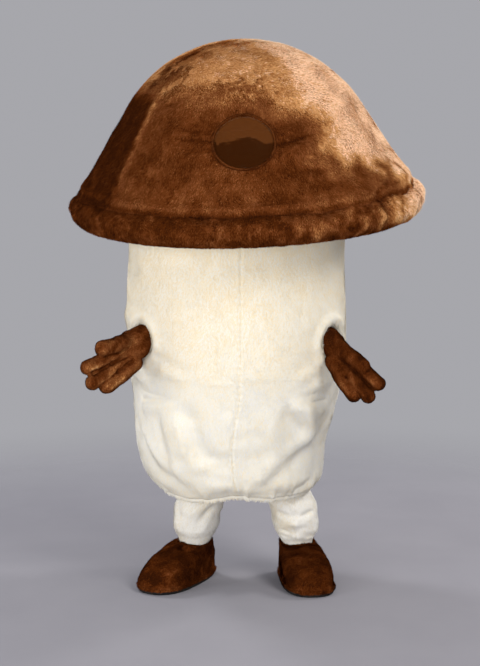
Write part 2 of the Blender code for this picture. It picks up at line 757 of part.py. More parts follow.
clear_scene()
PARTS = collection("mushroom_costume")
CUTTERS = collection("cutters")
BROWN_PLUSH = material("brown_plush", (0.23, 0.085, 0.030), 0.9)
CREAM_PLUSH = material("cream_plush", (0.80, 0.74, 0.62), 0.9)
BROWN_BINDING = material("brown_binding", (0.16, 0.055, 0.022), 0.8)
DARK_MESH = material("dark_mesh", (0.075, 0.038, 0.022), 0.7)
FOAM = material("foam", (0.62, 0.60, 0.54), 0.95)
BLACK_PLASTIC = material("black_plastic", (0.02, 0.02, 0.02), 0.45)
BLACK_WEBBING = material("black_webbing", (0.025, 0.025, 0.028), 0.8)
BLACK_RUBBER = material("black_rubber", (0.018, 0.018, 0.018), 0.7)
build_costume()
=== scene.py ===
"""The looks of the mushroom costume: plush skins with their pile, folds and seams, round the fixed frame.

Metres, +Z up, the front facing -Y. A turn is an angle round an upright axis, 0 at the front and growing
towards +X.
"""

import contextlib
import itertools
import math

import bmesh
import bpy
import numpy as np
from mathutils import Euler, Matrix, Vector


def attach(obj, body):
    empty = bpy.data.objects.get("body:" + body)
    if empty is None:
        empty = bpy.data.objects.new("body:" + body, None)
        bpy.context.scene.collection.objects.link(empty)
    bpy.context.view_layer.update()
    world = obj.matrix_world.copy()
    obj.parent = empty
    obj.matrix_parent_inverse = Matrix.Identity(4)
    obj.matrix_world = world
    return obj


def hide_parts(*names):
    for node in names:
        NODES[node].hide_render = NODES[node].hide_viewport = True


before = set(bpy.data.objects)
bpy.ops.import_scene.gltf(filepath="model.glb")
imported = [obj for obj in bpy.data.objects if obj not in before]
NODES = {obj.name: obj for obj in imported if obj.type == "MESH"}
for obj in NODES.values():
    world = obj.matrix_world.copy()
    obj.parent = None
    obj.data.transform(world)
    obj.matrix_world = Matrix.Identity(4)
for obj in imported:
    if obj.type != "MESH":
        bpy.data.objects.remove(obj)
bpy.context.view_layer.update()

SIDES = {"left": -1, "right": 1}  # as the front view shows them

# Cap, in a frame of its own at the middle of the rim
RIM_HEIGHT = 1.406
CAP_TIP = (math.radians(8.3), math.radians(-2.1), 0)
CROWN_HEIGHT = 0.558
CROWN_TOP_RADIUS = 0.494
CROWN_FLANK_TURN = math.radians(57.4)
CROWN_FOOT = 0.047
CROWN_TUCK = 0.012  # how far its plush runs on behind the roll
SEAM_DIP = 0.013  # of the seam over the roll, at the front
CROWN_INSET = 0.003  # of the skin under the smooth crown, which the pile then fills
CROWN_DEEPEST = -0.006  # of a dent, above the foam
CROWN_SEAMS = tuple(math.radians(turn) for turn in (-52, 34, 128, -142))
CROWN_ROWS = 110
CROWN_COLUMNS = 400
ROLL_RADIUS = 0.583
ROLL_THICKNESS = 0.060
ROLL_DROP = 0.012
ROLL_INSET = 0.004
UNDERSIDE_LEVEL = -0.036
UNDERSIDE_OUTER = 0.545  # behind the roll
UNDERSIDE_INNER = 0.394  # round the stem

# Window
WINDOW_RADIUS = 0.096
WINDOW_BINDING = 0.008
WINDOW_DEPTH = 0.004
WINDOW_OUT = 0.463
WINDOW_ASIDE = -0.002
WINDOW_WIDER = 1.018  # than a round one, and as much lower
THREAD_PITCH = 0.0024
THREAD_WIDTH = 0.0014
STITCHES = 76

# Stem
STEM_X = -0.034
STEM_PROFILE = (  # height and radius
    (1.600, 0.392),
    (1.200, 0.392),
    (0.950, 0.401),
    (0.800, 0.394),
    (0.716, 0.381),
    (0.660, 0.378),
    (0.590, 0.364),
    (0.520, 0.345),
    (0.450, 0.337),
    (0.395, 0.321),
    (0.358, 0.298),
    (0.344, 0.284),
)
STEM_INSET = 0.002
STEM_DEEPEST = -0.0045  # of a dent, over the foam
STEM_FOOT = 0.344
STEM_TOP_LEVEL = 0.047  # in the cap's frame, just under the deck
DRAPE_TOP = 0.700
DRAPE_ASIDE = -0.022
LOOSE_TOP = 0.790  # where the plush leaves its foam lining
LOOSE_SPARE = 1.22  # the loose plush's length over the way it hangs
LOOSE_CUT = 0.392  # radius of the straight tube that it is cut as
LOOSE_REACH = 0.022  # the furthest that a fold moves from the profile
LOOSE_ROWS = 56
LOOSE_COLUMNS = 168
LOOSE_STEPS = 46  # of the simulation
STEM_BELOW_CAP = 1.25  # above this height the stem's rows tilt with the cap
HEM_RADIUS = 0.2585  # as the elastic draws it in
HEM_DRAWN_IN = 0.010
HEM_THICKNESS = 0.0055

# Armholes and gloves
ARMHOLE_RADIUS = 0.0645  # of the plush's edge, which closes over its elastic
ARMHOLE_SECTION = (  # of the elastic: radius, and how far out
    (0.0700, -0.0045),
    (0.0670, -0.0025),
    (0.0635, -0.0015),
    (0.0605, -0.0030),
    (0.0590, -0.0090),
    (0.0588, -0.0190),
    (0.0590, -0.0320),
)
ARMHOLE_TURNS = {"left": math.radians(-56), "right": math.radians(57)}
ARMHOLE_HEIGHTS = {"left": 0.912, "right": 0.905}
GLOVE_CUFF_RADIUS = 0.060
GLOVE_CUFF_INSIDE = 0.100
WRIST_OUT = 0.050
HAND_ALONG = {"left": (-0.439, -0.740, -0.508), "right": (0.265, -0.685, -0.681)}
HAND_ACROSS = {"left": (-0.632, -0.147, 0.760), "right": (0.857, -0.158, 0.492)}
PALM_RADIUS = 0.038
FINGER_RADIUS = 0.029
THUMB_RADIUS = 0.028
GLOVE_INSET = 0.002  # under the plain solid, which the pile then fills
GLOVE_VOXEL = 0.0042
HEEL = (0.030, -0.030, 0.0)  # of the palm: along the hand, across it and out of the palm, as the next ones
HEEL_RADIUS = 0.038
CUFF_END = -0.018  # out of the armhole
CUFF_END_RADIUS = {"left": 0.056, "right": 0.050}
WRIST_RADIUS = {"left": 0.037, "right": 0.031}
WRIST_BACK = {"left": 0.004, "right": 0.036}  # towards the stem, from the plain solid's
GROOVE_STRENGTH = {"left": 1.0, "right": 0.5}  # of the creases between the fingers
FINGERS = (  # root, knuckle and tip of each, from the one beside the thumb
    ((0.028, -0.026, 0), (0.130, 0.018, 0), (0.218, 0.053, 0)),
    ((0.055, -0.044, 0), (0.151, -0.015, 0), (0.243, 0.005, 0)),
    ((0.052, -0.060, 0), (0.138, -0.053, 0), (0.211, -0.040, 0)),
)
THUMBS = {  # root and tip
    "left": ((0.089, 0.034, 0.030), (0.143, 0.063, 0.036)),
    "right": ((0.040, -0.012, 0.024), (0.147, 0.032, 0.034)),
}

# Trousers
LEG_AXIS = (  # height, how far aside and back, and radius
    (0.070, 0.189, 0.002, 0.054),
    (0.142, 0.189, 0.002, 0.057),
    (0.178, 0.187, 0.003, 0.076),
    (0.270, 0.176, 0.005, 0.084),
    (0.346, 0.141, 0.008, 0.078),
    (0.540, 0.123, 0.016, 0.090),
    (0.760, 0.103, 0.024, 0.094),
)
LEG_FULLER = 0.004  # than the plain solid, so that the folds have cloth to spare
TROUSER_TURNS = 96
HIP_PROFILE = ((1.000, 0.158), (0.900, 0.178), (0.800, 0.190), (0.740, 0.176), (0.705, 0.120))
HIP_FLATNESS = 0.72
HIP_Y = 0.022

# Overshoes
SHOE_X = 0.190
SHOE_Y = 0.002
SHOE_TURNS = {"left": math.radians(-34), "right": math.radians(12)}
COLLAR_HEIGHT = 0.140
COLLAR_RADIUS = 0.068
COLLAR_DIP = 0.010
HEEL_BACK = 0.088
TOE_FRONT = 0.285
HEEL_HALF_WIDTH = 0.070
TOE_HALF_WIDTH = 0.098
OUTLINE_SQUARENESS = 0.73
SHOE_FULLNESS = 0.90
SOLE_THICKNESS = 0.024
SHOE_WALL = 0.007
SHOE_INSET = 0.002  # under the plain solid, which the pile then fills
SHOE_COLUMNS = 132
LINING_ROWS = 9
LIP_ROWS = 4
OUTER_ROWS = 52
LINING_REACH = 0.30  # how far down the upper the lining runs, as a share
SOLE_EDGE = ((0.0008, 0.026), (0.0020, 0.020), (0.0016, 0.014), (0.0002, 0.0115))  # outwards, and height

# Stage
FLOOR_FADE = (1.2, 3.4)  # radii between which the floor fades out
CAMERA_PLACE = (-0.0217, -5.2, 1.5)
CAMERA_PITCH = math.radians(90 - 6.47)
CAMERA_LENS = 77.43

# Shades of the brown pile, from the darkest to the palest. The darkest also serve as painted shade on the
# crown's left flank, and the palest as painted highlight on its right.
BROWNS = (
    (0.034, 0.0082, 0.0022),
    (0.072, 0.0170, 0.0034),
    (0.128, 0.0345, 0.0085),
    (0.215, 0.0720, 0.0220),
    (0.385, 0.158, 0.050),
    (0.640, 0.338, 0.135),
    (0.920, 0.610, 0.395),
)
CREAMS = (
    (0.810, 0.700, 0.500),
    (0.810, 0.730, 0.570),
    (0.785, 0.752, 0.662),
    (0.765, 0.757, 0.730),
)
# Whiter and paler cream for the legs' pile: partly the legs' own whiter colour, partly painted light that
# makes them as bright as a stronger lamp would.
LEG_CREAMS_PAINTED_LIGHT = (
    (0.860, 0.790, 0.650),
    (0.880, 0.860, 0.810),
)
PILES = {  # blades, their length and width, how far they stand up, seed, and how far the nap swirls
    "crown": (180000, 0.0110, 0.0032, 0.34, 21, 0.55),
    "rim": (95000, 0.0095, 0.0032, 0.40, 22, 0.8),
    "stem": (108000, 0.0120, 0.0044, 0.16, 23, 0.8),
    "glove": (30000, 0.0060, 0.0026, 0.30, 24, 0.6),
    "trousers": (42000, 0.0110, 0.0036, 0.20, 25, 0.9),
    "shoe": (34000, 0.0075, 0.0030, 0.34, 26, 0.8),
    "armhole": (6000, 0.0130, 0.0036, 0.70, 27, 0.8),
    "window": (6000, 0.0075, 0.0024, 0.40, 28, 1.2),
}

CAP = Matrix.Translation((0, 0, RIM_HEIGHT)) @ Euler(CAP_TIP).to_matrix().to_4x4()
CAP_AXES = np.array(CAP.to_3x3())
CAP_PLACE = np.array((0, 0, RIM_HEIGHT))
WINDOW_TURN = np.array(Matrix.Rotation(CROWN_FLANK_TURN, 3, "X"))


# Numbers over arrays of points


def to_world(points):
    """Points of the cap's frame in the world."""
    return points @ CAP_AXES.T + CAP_PLACE


def to_cap(points):
    return (points - CAP_PLACE) @ CAP_AXES


def rises(value, low, high):
    """0 below low, 1 above high, and smooth in between."""
    share = np.clip((value - low) / (high - low), 0, 1)
    return share * share * (3 - 2 * share)


def hump(value, middle, width):
    return np.exp(-(((value - middle) / width) ** 2))


def towards(value, target, share):
    return value + (target - value) * share


def noise(points, size, seed, stretch=(1, 1, 1)):
    """Smooth noise from -1 to 1, whose lumps are about size across."""
    place = points * np.array(stretch) / size + seed * 7.31
    cell = np.floor(place).astype(np.int64)
    part = place - cell
    part = part * part * (3 - 2 * part)
    total = np.zeros(len(points))
    for corner in itertools.product((0, 1), repeat=3):
        key = (cell + corner) @ np.array((73856093, 19349663, 83492791)) + seed * 7919
        key = (key ^ (key >> 13)) * 1274126177
        value = ((key ^ (key >> 16)) & 0xFFFF) / 0x7FFF - 1
        weight = np.prod(np.where(corner, part, 1 - part), axis=1)
        total += weight * value
    return total


def unit(vectors):
    return vectors / np.maximum(np.linalg.norm(vectors, axis=-1, keepdims=True), 1e-12)


def crease(points, start, end, width, depth, hold=0.35):
    """A fold along a line, deepest up to the hold's share of it and running out at its end."""
    start, end = np.array(start), np.array(end)
    line = end - start
    share = np.clip((points - start) @ line / (line @ line), 0, 1)
    away = np.linalg.norm(points - start - share[:, None] * line, axis=1)
    return depth * hump(away, 0, width) * (1 - rises(share, hold, 1))


def overlap(points, start, end, width, height):
    """A fold where cloth bulges on one side of a line and sinks on the other, fading at both ends."""
    start, end = np.array(start), np.array(end)
    line = end - start
    middle = (start + end) / 2
    out = unit(middle - (STEM_X, 0, middle[2]))
    share = (points - start) @ line / (line @ line)
    across = (points - start) @ np.cross(out, unit(line)) / width
    near = rises((points - middle) @ out, -0.20, -0.12)
    ends = rises(share, -0.25, 0.25) * (1 - rises(share, 0.75, 1.25))
    return height * 2.33 * across * hump(across, 0, 1) * ends * near


def smoothed(rows, column, window):
    """A function that reads a column of rows between the places in their first, rounded over the window."""
    places, values = np.array(sorted(rows)).T[[0, column]]
    dense = np.linspace(places[0], places[-1], 600)
    read = np.interp(dense, places, values)
    count = max(1, int(window / (dense[1] - dense[0])))
    padded = np.pad(read, count, mode="reflect", reflect_type="odd")
    kernel = np.hanning(2 * count + 1)
    rounded = np.convolve(padded, kernel / kernel.sum(), mode="valid")
    return lambda x: np.interp(x, dense, rounded)


def full_circle(count):
    """Turns at even steps all the way round."""
    return np.linspace(0, 2 * math.pi, count, endpoint=False)


def round_axis(radius, turn, height, x=0.0, y=0.0):
    """Points at a radius, turn and height round the upright axis through (x, y)."""
    places = (x + radius * np.sin(turn), y - radius * np.cos(turn), height)
    return np.stack(np.broadcast_arrays(*places), axis=-1)


def tube_angles(columns, rows):
    """Turns round a tube's ring, and angles round its section, from the top over the outside and back."""
    return np.meshgrid(full_circle(columns), np.linspace(math.pi / 2, -1.5 * math.pi, rows))


# Meshes


@contextlib.contextmanager
def edited(mesh):
    """A mesh opened for a change of its points and faces, and written back after it."""
    shape = bmesh.new()
    shape.from_mesh(mesh)
    yield shape
    shape.to_mesh(mesh)
    shape.free()


def object_of(name, data):
    """A new object in the scene."""
    obj = bpy.data.objects.new(name, data)
    bpy.context.scene.collection.objects.link(obj)
    return obj


def grid_faces(rows, columns, around):
    index = np.arange(rows * columns).reshape(rows, columns)
    if around:
        index = np.concatenate([index, index[:, :1]], axis=1)
    return np.stack([index[:-1, :-1], index[1:, :-1], index[1:, 1:], index[:-1, 1:]], axis=-1)


def grid_normals(points):
    """Outward normals of a round grid whose rows run down and whose columns run towards +turn."""
    along = np.roll(points, -1, axis=1) - np.roll(points, 1, axis=1)
    return unit(np.cross(np.gradient(points, axis=0), along))


def mesh_object(name, points, faces, weld=1e-6):
    mesh = bpy.data.meshes.new(name)
    mesh.from_pydata(points.tolist(), [], faces.tolist())
    with edited(mesh) as shape:
        bmesh.ops.remove_doubles(shape, verts=shape.verts, dist=weld)
    mesh.shade_smooth()
    return object_of(name, mesh)


def grid_object(name, points, keep=None):
    """A mesh over a round grid of points, without the faces whose middle keep refuses."""
    faces = grid_faces(points.shape[0], points.shape[1], True).reshape(-1, 4)
    flat = points.reshape(-1, 3)
    if keep is not None:
        faces = faces[keep(flat[faces].mean(axis=1))]
    obj = mesh_object(name, flat, faces)
    with edited(obj.data) as shape:
        loose = [vert for vert in shape.verts if not vert.link_faces]
        bmesh.ops.delete(shape, geom=loose, context="VERTS")
    return obj


def places_of(obj):
    points = np.empty(len(obj.data.vertices) * 3)
    obj.data.vertices.foreach_get("co", points)
    return points.reshape(-1, 3)


def normals_of(obj):
    normals = np.empty(len(obj.data.vertices) * 3, np.float32)
    obj.data.vertices.foreach_get("normal", normals)
    return normals.reshape(-1, 3).astype(float)


def pushed(obj, relief):
    """Moves the object's points out along their normals by relief(points)."""
    points = places_of(obj)
    moved = points + normals_of(obj) * relief(points)[:, None]
    obj.data.vertices.foreach_set("co", moved.ravel())
    obj.data.update()
    return obj


def evaluated(obj):
    """The object with its modifiers applied."""
    bpy.context.view_layer.update()
    graph = bpy.context.evaluated_depsgraph_get()
    mesh = bpy.data.meshes.new_from_object(obj.evaluated_get(graph))
    obj.modifiers.clear()
    obj.data = mesh
    mesh.shade_smooth()
    return obj


def joined(name, objects):
    """One mesh object of several, which are removed."""
    points, faces, count = [], [], 0
    for obj in objects:
        places = places_of(obj)
        points.append(places)
        faces += [[v + count for v in face.vertices] for face in obj.data.polygons]
        count += len(places)
        bpy.data.objects.remove(obj, do_unlink=True)
    mesh = bpy.data.meshes.new(name)
    mesh.from_pydata(np.concatenate(points).tolist(), [], faces)
    mesh.shade_smooth()
    return object_of(name, mesh)


# Materials


def shader_of(name, roughness, **values):
    """A new node material, its tree and its shader, with these constant values on the shader."""
    made = bpy.data.materials.new(name)
    made.use_nodes = True
    shader = made.node_tree.nodes["Principled BSDF"]
    shader.inputs["Roughness"].default_value = roughness
    for key, value in values.items():
        shader.inputs[key.replace("_", " ")].default_value = value
    return made, made.node_tree, shader


def texture(tree, kind, scale, stretch=(1, 1, 1), **settings):
    """A texture node over the object's own coordinates."""
    place = tree.nodes.new("ShaderNodeTexCoord")
    mapping = tree.nodes.new("ShaderNodeMapping")
    mapping.inputs["Scale"].default_value = stretch
    node = tree.nodes.new(f"ShaderNodeTex{kind}")
    tree.links.new(place.outputs["Object"], mapping.inputs["Vector"])
    tree.links.new(mapping.outputs["Vector"], node.inputs["Vector"])
    node.inputs["Scale"].default_value = scale
    for key, value in settings.items():
        if hasattr(node, key):
            setattr(node, key, value)
        else:
            node.inputs[key.replace("_", " ")].default_value = value
    return node


def ramp(tree, source, stops):
    """Colours along a texture's value, from (place, colour) stops."""
    node = tree.nodes.new("ShaderNodeValToRGB")
    elements = node.color_ramp.elements
    while len(elements) < len(stops):
        elements.new(0.5)
    for element, (place, colour) in zip(elements, stops):
        element.position = place
        element.color = (*colour, 1)
    tree.links.new(source, node.inputs["Fac"])
    return node


def bump(tree, shader, source, distance):
    node = tree.nodes.new("ShaderNodeBump")
    node.inputs["Distance"].default_value = distance
    tree.links.new(source, node.inputs["Height"])
    tree.links.new(node.outputs["Normal"], shader.inputs["Normal"])


def coloured(tree, shader, source, stops):
    colours = ramp(tree, source, stops)
    tree.links.new(colours.outputs["Color"], shader.inputs["Base Color"])


def cloth_shader(name, roughness, sheen, sheen_roughness, tint):
    """A dull shader with the pale edge that short fibres give."""
    return shader_of(
        name,
        roughness,
        Sheen_Weight=sheen,
        Sheen_Roughness=sheen_roughness,
        Sheen_Tint=(*tint, 1),
        Specular_IOR_Level=0.0,
    )


def plush_skin(name, shades, sheen):
    """Backing cloth and the roots of its pile: cloudy colour and fine streaks down the nap."""
    made, tree, shader = cloth_shader(name, 0.9, sheen, 0.5, shades[-1])
    clouds = texture(tree, "Noise", 24, Detail=7.0, Roughness=0.65)
    stops = [(0.34 + 0.32 * i / (len(shades) - 1), shade) for i, shade in enumerate(shades)]
    coloured(tree, shader, clouds.outputs["Fac"], stops)
    streaks = texture(tree, "Noise", 420, (1, 1, 0.35), Detail=3.0)
    bump(tree, shader, streaks.outputs["Fac"], 0.0016)
    return made


def pile_shade(name, colour, sheen, contrast):
    """One shade of the pile's blades. A pile is made of several, placed blade by blade."""
    pale = tuple(min(1, c * 1.6) for c in colour)
    made, tree, shader = cloth_shader(name, 0.8, sheen, 0.45, pale)
    fibres = texture(tree, "Noise", 160, Detail=3.0)
    dull, bright = (tuple(c * (1 + share) for c in colour) for share in (-contrast, contrast))
    coloured(tree, shader, fibres.outputs["Fac"], [(0.35, dull), (0.65, bright)])
    return made


def foam_material():
    made, tree, shader = shader_of("foam", 0.95)
    pores = texture(tree, "Voronoi", 260)
    clouds = texture(tree, "Noise", 18, Detail=4.0)
    coloured(tree, shader, clouds.outputs["Fac"], [(0.3, (0.50, 0.47, 0.40)), (0.7, (0.66, 0.64, 0.57))])
    bump(tree, shader, pores.outputs["Distance"], 0.0015)
    return made


def plastic_material():
    made, tree, shader = shader_of("moulded_plastic", 0.45)
    grain = texture(tree, "Noise", 900, Detail=2.0)
    wear = texture(tree, "Noise", 14, Detail=5.0)
    coloured(tree, shader, wear.outputs["Fac"], [(0.35, (0.014, 0.014, 0.015)), (0.7, (0.034, 0.033, 0.034))])
    bump(tree, shader, grain.outputs["Fac"], 0.0003)
    return made


def webbing_material():
    made, tree, shader = shader_of("webbing", 0.8, Sheen_Weight=0.2)
    weave = texture(tree, "Wave", 210, (1, 1, 0.5), Distortion=0.4)
    coloured(tree, shader, weave.outputs["Fac"], [(0.2, (0.014, 0.014, 0.016)), (0.8, (0.045, 0.045, 0.050))])
    bump(tree, shader, weave.outputs["Fac"], 0.0008)
    return made


def rubber_material():
    made, tree, shader = shader_of("sole_rubber", 0.8, Specular_IOR_Level=0.15)
    scuffs = texture(tree, "Noise", 45, (1, 1, 3), Detail=8.0)
    grain = texture(tree, "Noise", 700, Detail=2.0)
    stops = [(0.4, (0.006, 0.006, 0.006)), (0.8, (0.030, 0.028, 0.026))]
    coloured(tree, shader, scuffs.outputs["Fac"], stops)
    bump(tree, shader, grain.outputs["Fac"], 0.0005)
    return made


def thread_material(name, dark, light, scale):
    made, tree, shader = shader_of(name, 0.9, Specular_IOR_Level=0.0)
    twist = texture(tree, "Wave", scale, bands_direction="DIAGONAL", Distortion=1.5)
    coloured(tree, shader, twist.outputs["Fac"], [(0.2, dark), (0.8, light)])
    bump(tree, shader, twist.outputs["Fac"], 0.0004)
    return made


def floor_material(dull, pale):
    """Pale floor that fades into the background, so that no horizon shows."""
    made, tree, shader = shader_of("studio_floor", 0.9, Specular_IOR_Level=0.1)
    place = tree.nodes.new("ShaderNodeTexCoord")
    far = tree.nodes.new("ShaderNodeVectorMath")
    far.operation = "LENGTH"
    tree.links.new(place.outputs["Object"], far.inputs[0])
    share = tree.nodes.new("ShaderNodeMapRange")
    share.inputs["From Min"].default_value = FLOOR_FADE[0]
    share.inputs["From Max"].default_value = FLOOR_FADE[1]
    share.interpolation_type = "SMOOTHSTEP"
    tree.links.new(far.outputs["Value"], share.inputs["Value"])
    clear = tree.nodes.new("ShaderNodeBsdfTransparent")
    mixed = tree.nodes.new("ShaderNodeMixShader")
    tree.links.new(share.outputs["Result"], mixed.inputs["Fac"])
    tree.links.new(shader.outputs["BSDF"], mixed.inputs[1])
    tree.links.new(clear.outputs["BSDF"], mixed.inputs[2])
    tree.links.new(mixed.outputs["Shader"], tree.nodes["Material Output"].inputs["Surface"])
    dust = texture(tree, "Noise", 3, Detail=6.0)
    coloured(tree, shader, dust.outputs["Fac"], [(0.3, dull), (0.7, pale)])
    return made


# Pile


def mesh_arrays(obj):
    obj.data.calc_loop_triangles()
    triangles = np.empty(len(obj.data.loop_triangles) * 3, np.int32)
    obj.data.loop_triangles.foreach_get("vertices", triangles)
    return places_of(obj), normals_of(obj), triangles.reshape(-1, 3)


def shade_index(tone, count):
    return np.clip((tone * count).astype(int), 0, count - 1)


def scattered(skin, keep, random, count):
    """Even random places on a skin, where keep allows them, with the skin's normals there."""
    points, normals, triangles = mesh_arrays(skin)
    if keep is not None:
        triangles = triangles[keep(points[triangles].mean(axis=1))]
    corners = points[triangles]
    area = np.linalg.norm(np.cross(corners[:, 1] - corners[:, 0], corners[:, 2] - corners[:, 0]), axis=1)
    total = np.cumsum(area)
    picked = np.searchsorted(total, (np.arange(count) + random.random(count)) / count * total[-1])
    picked = np.minimum(picked, len(triangles) - 1)
    first = np.sqrt(random.random(count))
    second = random.random(count)
    weights = np.stack([1 - first, first * (1 - second), first * second], axis=1)[:, :, None]
    normal = unit((normals[triangles[picked]] * weights).sum(axis=1))
    return (corners[picked] * weights).sum(axis=1), normal


def blade_object(name, blades, shown, shades, chosen):
    """An object of loose triangles, each shaded as if it faced the way that shown gives."""
    count = len(shown)
    mesh = bpy.data.meshes.new(name)
    mesh.vertices.add(count * 3)
    mesh.loops.add(count * 3)
    mesh.polygons.add(count)
    mesh.vertices.foreach_set("co", blades.ravel())
    mesh.loops.foreach_set("vertex_index", np.arange(count * 3))
    mesh.polygons.foreach_set("loop_start", np.arange(count) * 3)
    for shade in shades:
        mesh.materials.append(shade)
    mesh.polygons.foreach_set("material_index", chosen)
    mesh.update(calc_edges=True)
    mesh.shade_smooth()
    mesh.normals_split_custom_set_from_vertices(np.repeat(shown, 3, axis=0).tolist())
    return object_of(name, mesh)


def grow_pile(name, skin, kind, flow, tone, shades, keep=None, coarse=1.0, blend=0.06):
    """Short blades of pile on a skin, one triangle each.

    flow(points) is the way the pile is brushed, and tone(points) its shade from 0, the darkest, to 1.
    coarse is how much the blades differ one by one in how they shade, and blend how much in tone.
    """
    count, length, width, lift, seed, swirl = PILES[kind]
    random = np.random.default_rng(seed)
    root, normal = scattered(skin, keep, random, count)
    way = flow(root)
    way = unit(way - normal * (way * normal).sum(axis=1, keepdims=True))
    turn = swirl * (noise(root, 0.055, seed) + 0.6 * noise(root, 0.021, seed + 1))
    turn = (turn + random.normal(0, 0.16, count))[:, None]
    way = way * np.cos(turn) + np.cross(normal, way) * np.sin(turn)
    across = np.cross(normal, way)
    rise = lift * (1 + 0.28 * noise(root, 0.018, seed + 2) + random.normal(0, 0.20, count))
    rise = np.clip(rise, 0.06, 1.2)[:, None]
    reach = (length * (0.7 + 0.6 * random.random(count)))[:, None]
    leaning = way * np.cos(rise) + normal * np.sin(rise)
    half = across * (width * (0.35 + 0.3 * random.random(count)))[:, None]
    sunk = root - normal * length * 0.05
    blades = np.stack([sunk + half, sunk - half, root + leaning * reach], axis=1)
    facing = unit(np.cross(leaning, across))
    jitter = random.normal(0, 0.10 * coarse, (count, 3))
    shown = unit(normal + facing * 0.39 * coarse + jitter)
    chosen = shade_index(tone(root) + random.normal(0, blend, count), len(shades))
    return blade_object(name, blades, shown, shades, chosen)


def shade_skin(obj, tone, skins):
    """Gives each face of a skin the material that is nearest the pile's shade over it."""
    obj.data.materials.clear()
    for skin in skins:
        obj.data.materials.append(skin)
    middles = np.empty(len(obj.data.polygons) * 3)
    obj.data.polygons.foreach_get("center", middles)
    chosen = shade_index(tone(middles.reshape(-1, 3)), len(skins))
    obj.data.polygons.foreach_set("material_index", chosen.astype(np.int32))


# Cap


def crown_radius(height, inset=0.0):
    """The crown's radius at a height of the cap's frame: a straight flank under a round top."""
    centre = CROWN_HEIGHT - CROWN_TOP_RADIUS
    top = CROWN_TOP_RADIUS - inset
    out = top * math.sin(CROWN_FLANK_TURN)
    up = centre + top * math.cos(CROWN_FLANK_TURN)
    dome = np.sqrt(np.maximum(top**2 - (height - centre) ** 2, 0))
    flank = out + (up - height) / math.tan(CROWN_FLANK_TURN)
    return np.where(height > up, dome, flank)


def crown_grid(rows, columns, inset):
    """Points of the crown in the cap's frame, rows from the top down and columns round it."""
    centre = CROWN_HEIGHT - CROWN_TOP_RADIUS
    top = CROWN_TOP_RADIUS - inset
    arc = top * CROWN_FLANK_TURN
    up = centre + top * math.cos(CROWN_FLANK_TURN)
    slope = (up - CROWN_FOOT + CROWN_TUCK) / math.sin(CROWN_FLANK_TURN)
    way = np.linspace(0, arc + slope, rows)
    turn_down = np.minimum(way / top, CROWN_FLANK_TURN)
    height = np.where(
        way < arc,
        centre + top * np.cos(turn_down),
        up - (way - arc) * math.sin(CROWN_FLANK_TURN),
    )
    radius = np.where(way < arc, top * np.sin(turn_down), crown_radius(height, inset))
    tuck_radius = radius[-1] - np.array((0.007, 0.020))
    tuck_height = height[-1] - np.array((0.006, 0.009))
    radius = np.concatenate([radius, tuck_radius])
    height = np.concatenate([height, tuck_height])
    return round_axis(radius[:, None], full_circle(columns), height[:, None])


def cap_turn(points):
    return np.arctan2(points[:, 0], -points[:, 1])


def seam_dip(degrees):
    """How far the seam between crown and roll lies below the crown's foot."""
    return SEAM_DIP * hump(degrees, -4, 42)


def turn_from(turns, middle):
    """Turns measured from a middle one, between half a turn back and half a turn on."""
    return (turns - middle + math.pi) % (2 * math.pi) - math.pi


def crown_place(turn_degrees, height):
    turn = math.radians(turn_degrees)
    radius = float(crown_radius(np.array(height)))
    return (radius * math.sin(turn), -radius * math.cos(turn), height)


CROWN_CREASES = (  # start and end as (turn in degrees, height), width, depth
    ((13, 0.243), (37, 0.276), 0.010, -0.012),
    ((14, 0.268), (32, 0.312), 0.020, 0.012),
    ((15, 0.215), (34, 0.240), 0.022, 0.013),
    ((-13, 0.285), (-32, 0.298), 0.008, -0.007),
    ((-13, 0.262), (-34, 0.268), 0.008, -0.008),
    ((-13, 0.274), (-30, 0.284), 0.008, 0.004),
    ((-13, 0.235), (-28, 0.232), 0.008, -0.006),
    ((-13, 0.248), (-30, 0.250), 0.009, 0.005),
    ((20, 0.165), (36, 0.150), 0.010, -0.006),
    ((-34, 0.400), (-46, 0.340), 0.014, -0.005),
    ((48, 0.066), (66, 0.098), 0.012, -0.010),
    ((52, 0.112), (68, 0.132), 0.020, 0.007),
    ((150, 0.300), (168, 0.180), 0.018, -0.006),
    ((-118, 0.330), (-100, 0.210), 0.018, -0.006),
)


def crown_relief(points):
    """How far the plush stands off the smooth crown, at points in the cap's frame."""
    turn = cap_turn(points)
    height = points[:, 2]
    relief = 0.0030 * noise(points, 0.17, 3) + 0.0012 * noise(points, 0.05, 4)
    for i, seam in enumerate(CROWN_SEAMS):
        away = np.abs(turn_from(turn, seam)) * np.maximum(np.hypot(points[:, 0], points[:, 1]), 0.02)
        strength = 0.0050 if i == 0 else 0.0022
        low = rises(height, 0.47, 0.36)
        relief += strength * low * hump(away, 0, 0.011)
        relief -= 0.0018 * low * hump(away, 0, 0.0028)
    hollow = hump(np.degrees(turn_from(turn, CROWN_SEAMS[0])), -9, 6)
    relief -= 0.0055 * hollow * rises(height, 0.42, 0.34)
    for start, end, width, depth in CROWN_CREASES:
        relief += crease(points, crown_place(*start), crown_place(*end), width, depth)
    corner = hump(np.degrees(turn), 62, 24)
    relief += 0.017 * corner * hump(height, 0.090, 0.036)
    foot = rises(height, 0.16, 0.06)
    relief += 0.0045 * foot * noise(points, 0.045, 5)
    relief += 0.0055 * hump(height + seam_dip(np.degrees(turn)), 0.070, 0.013)
    return np.maximum(relief, CROWN_DEEPEST)


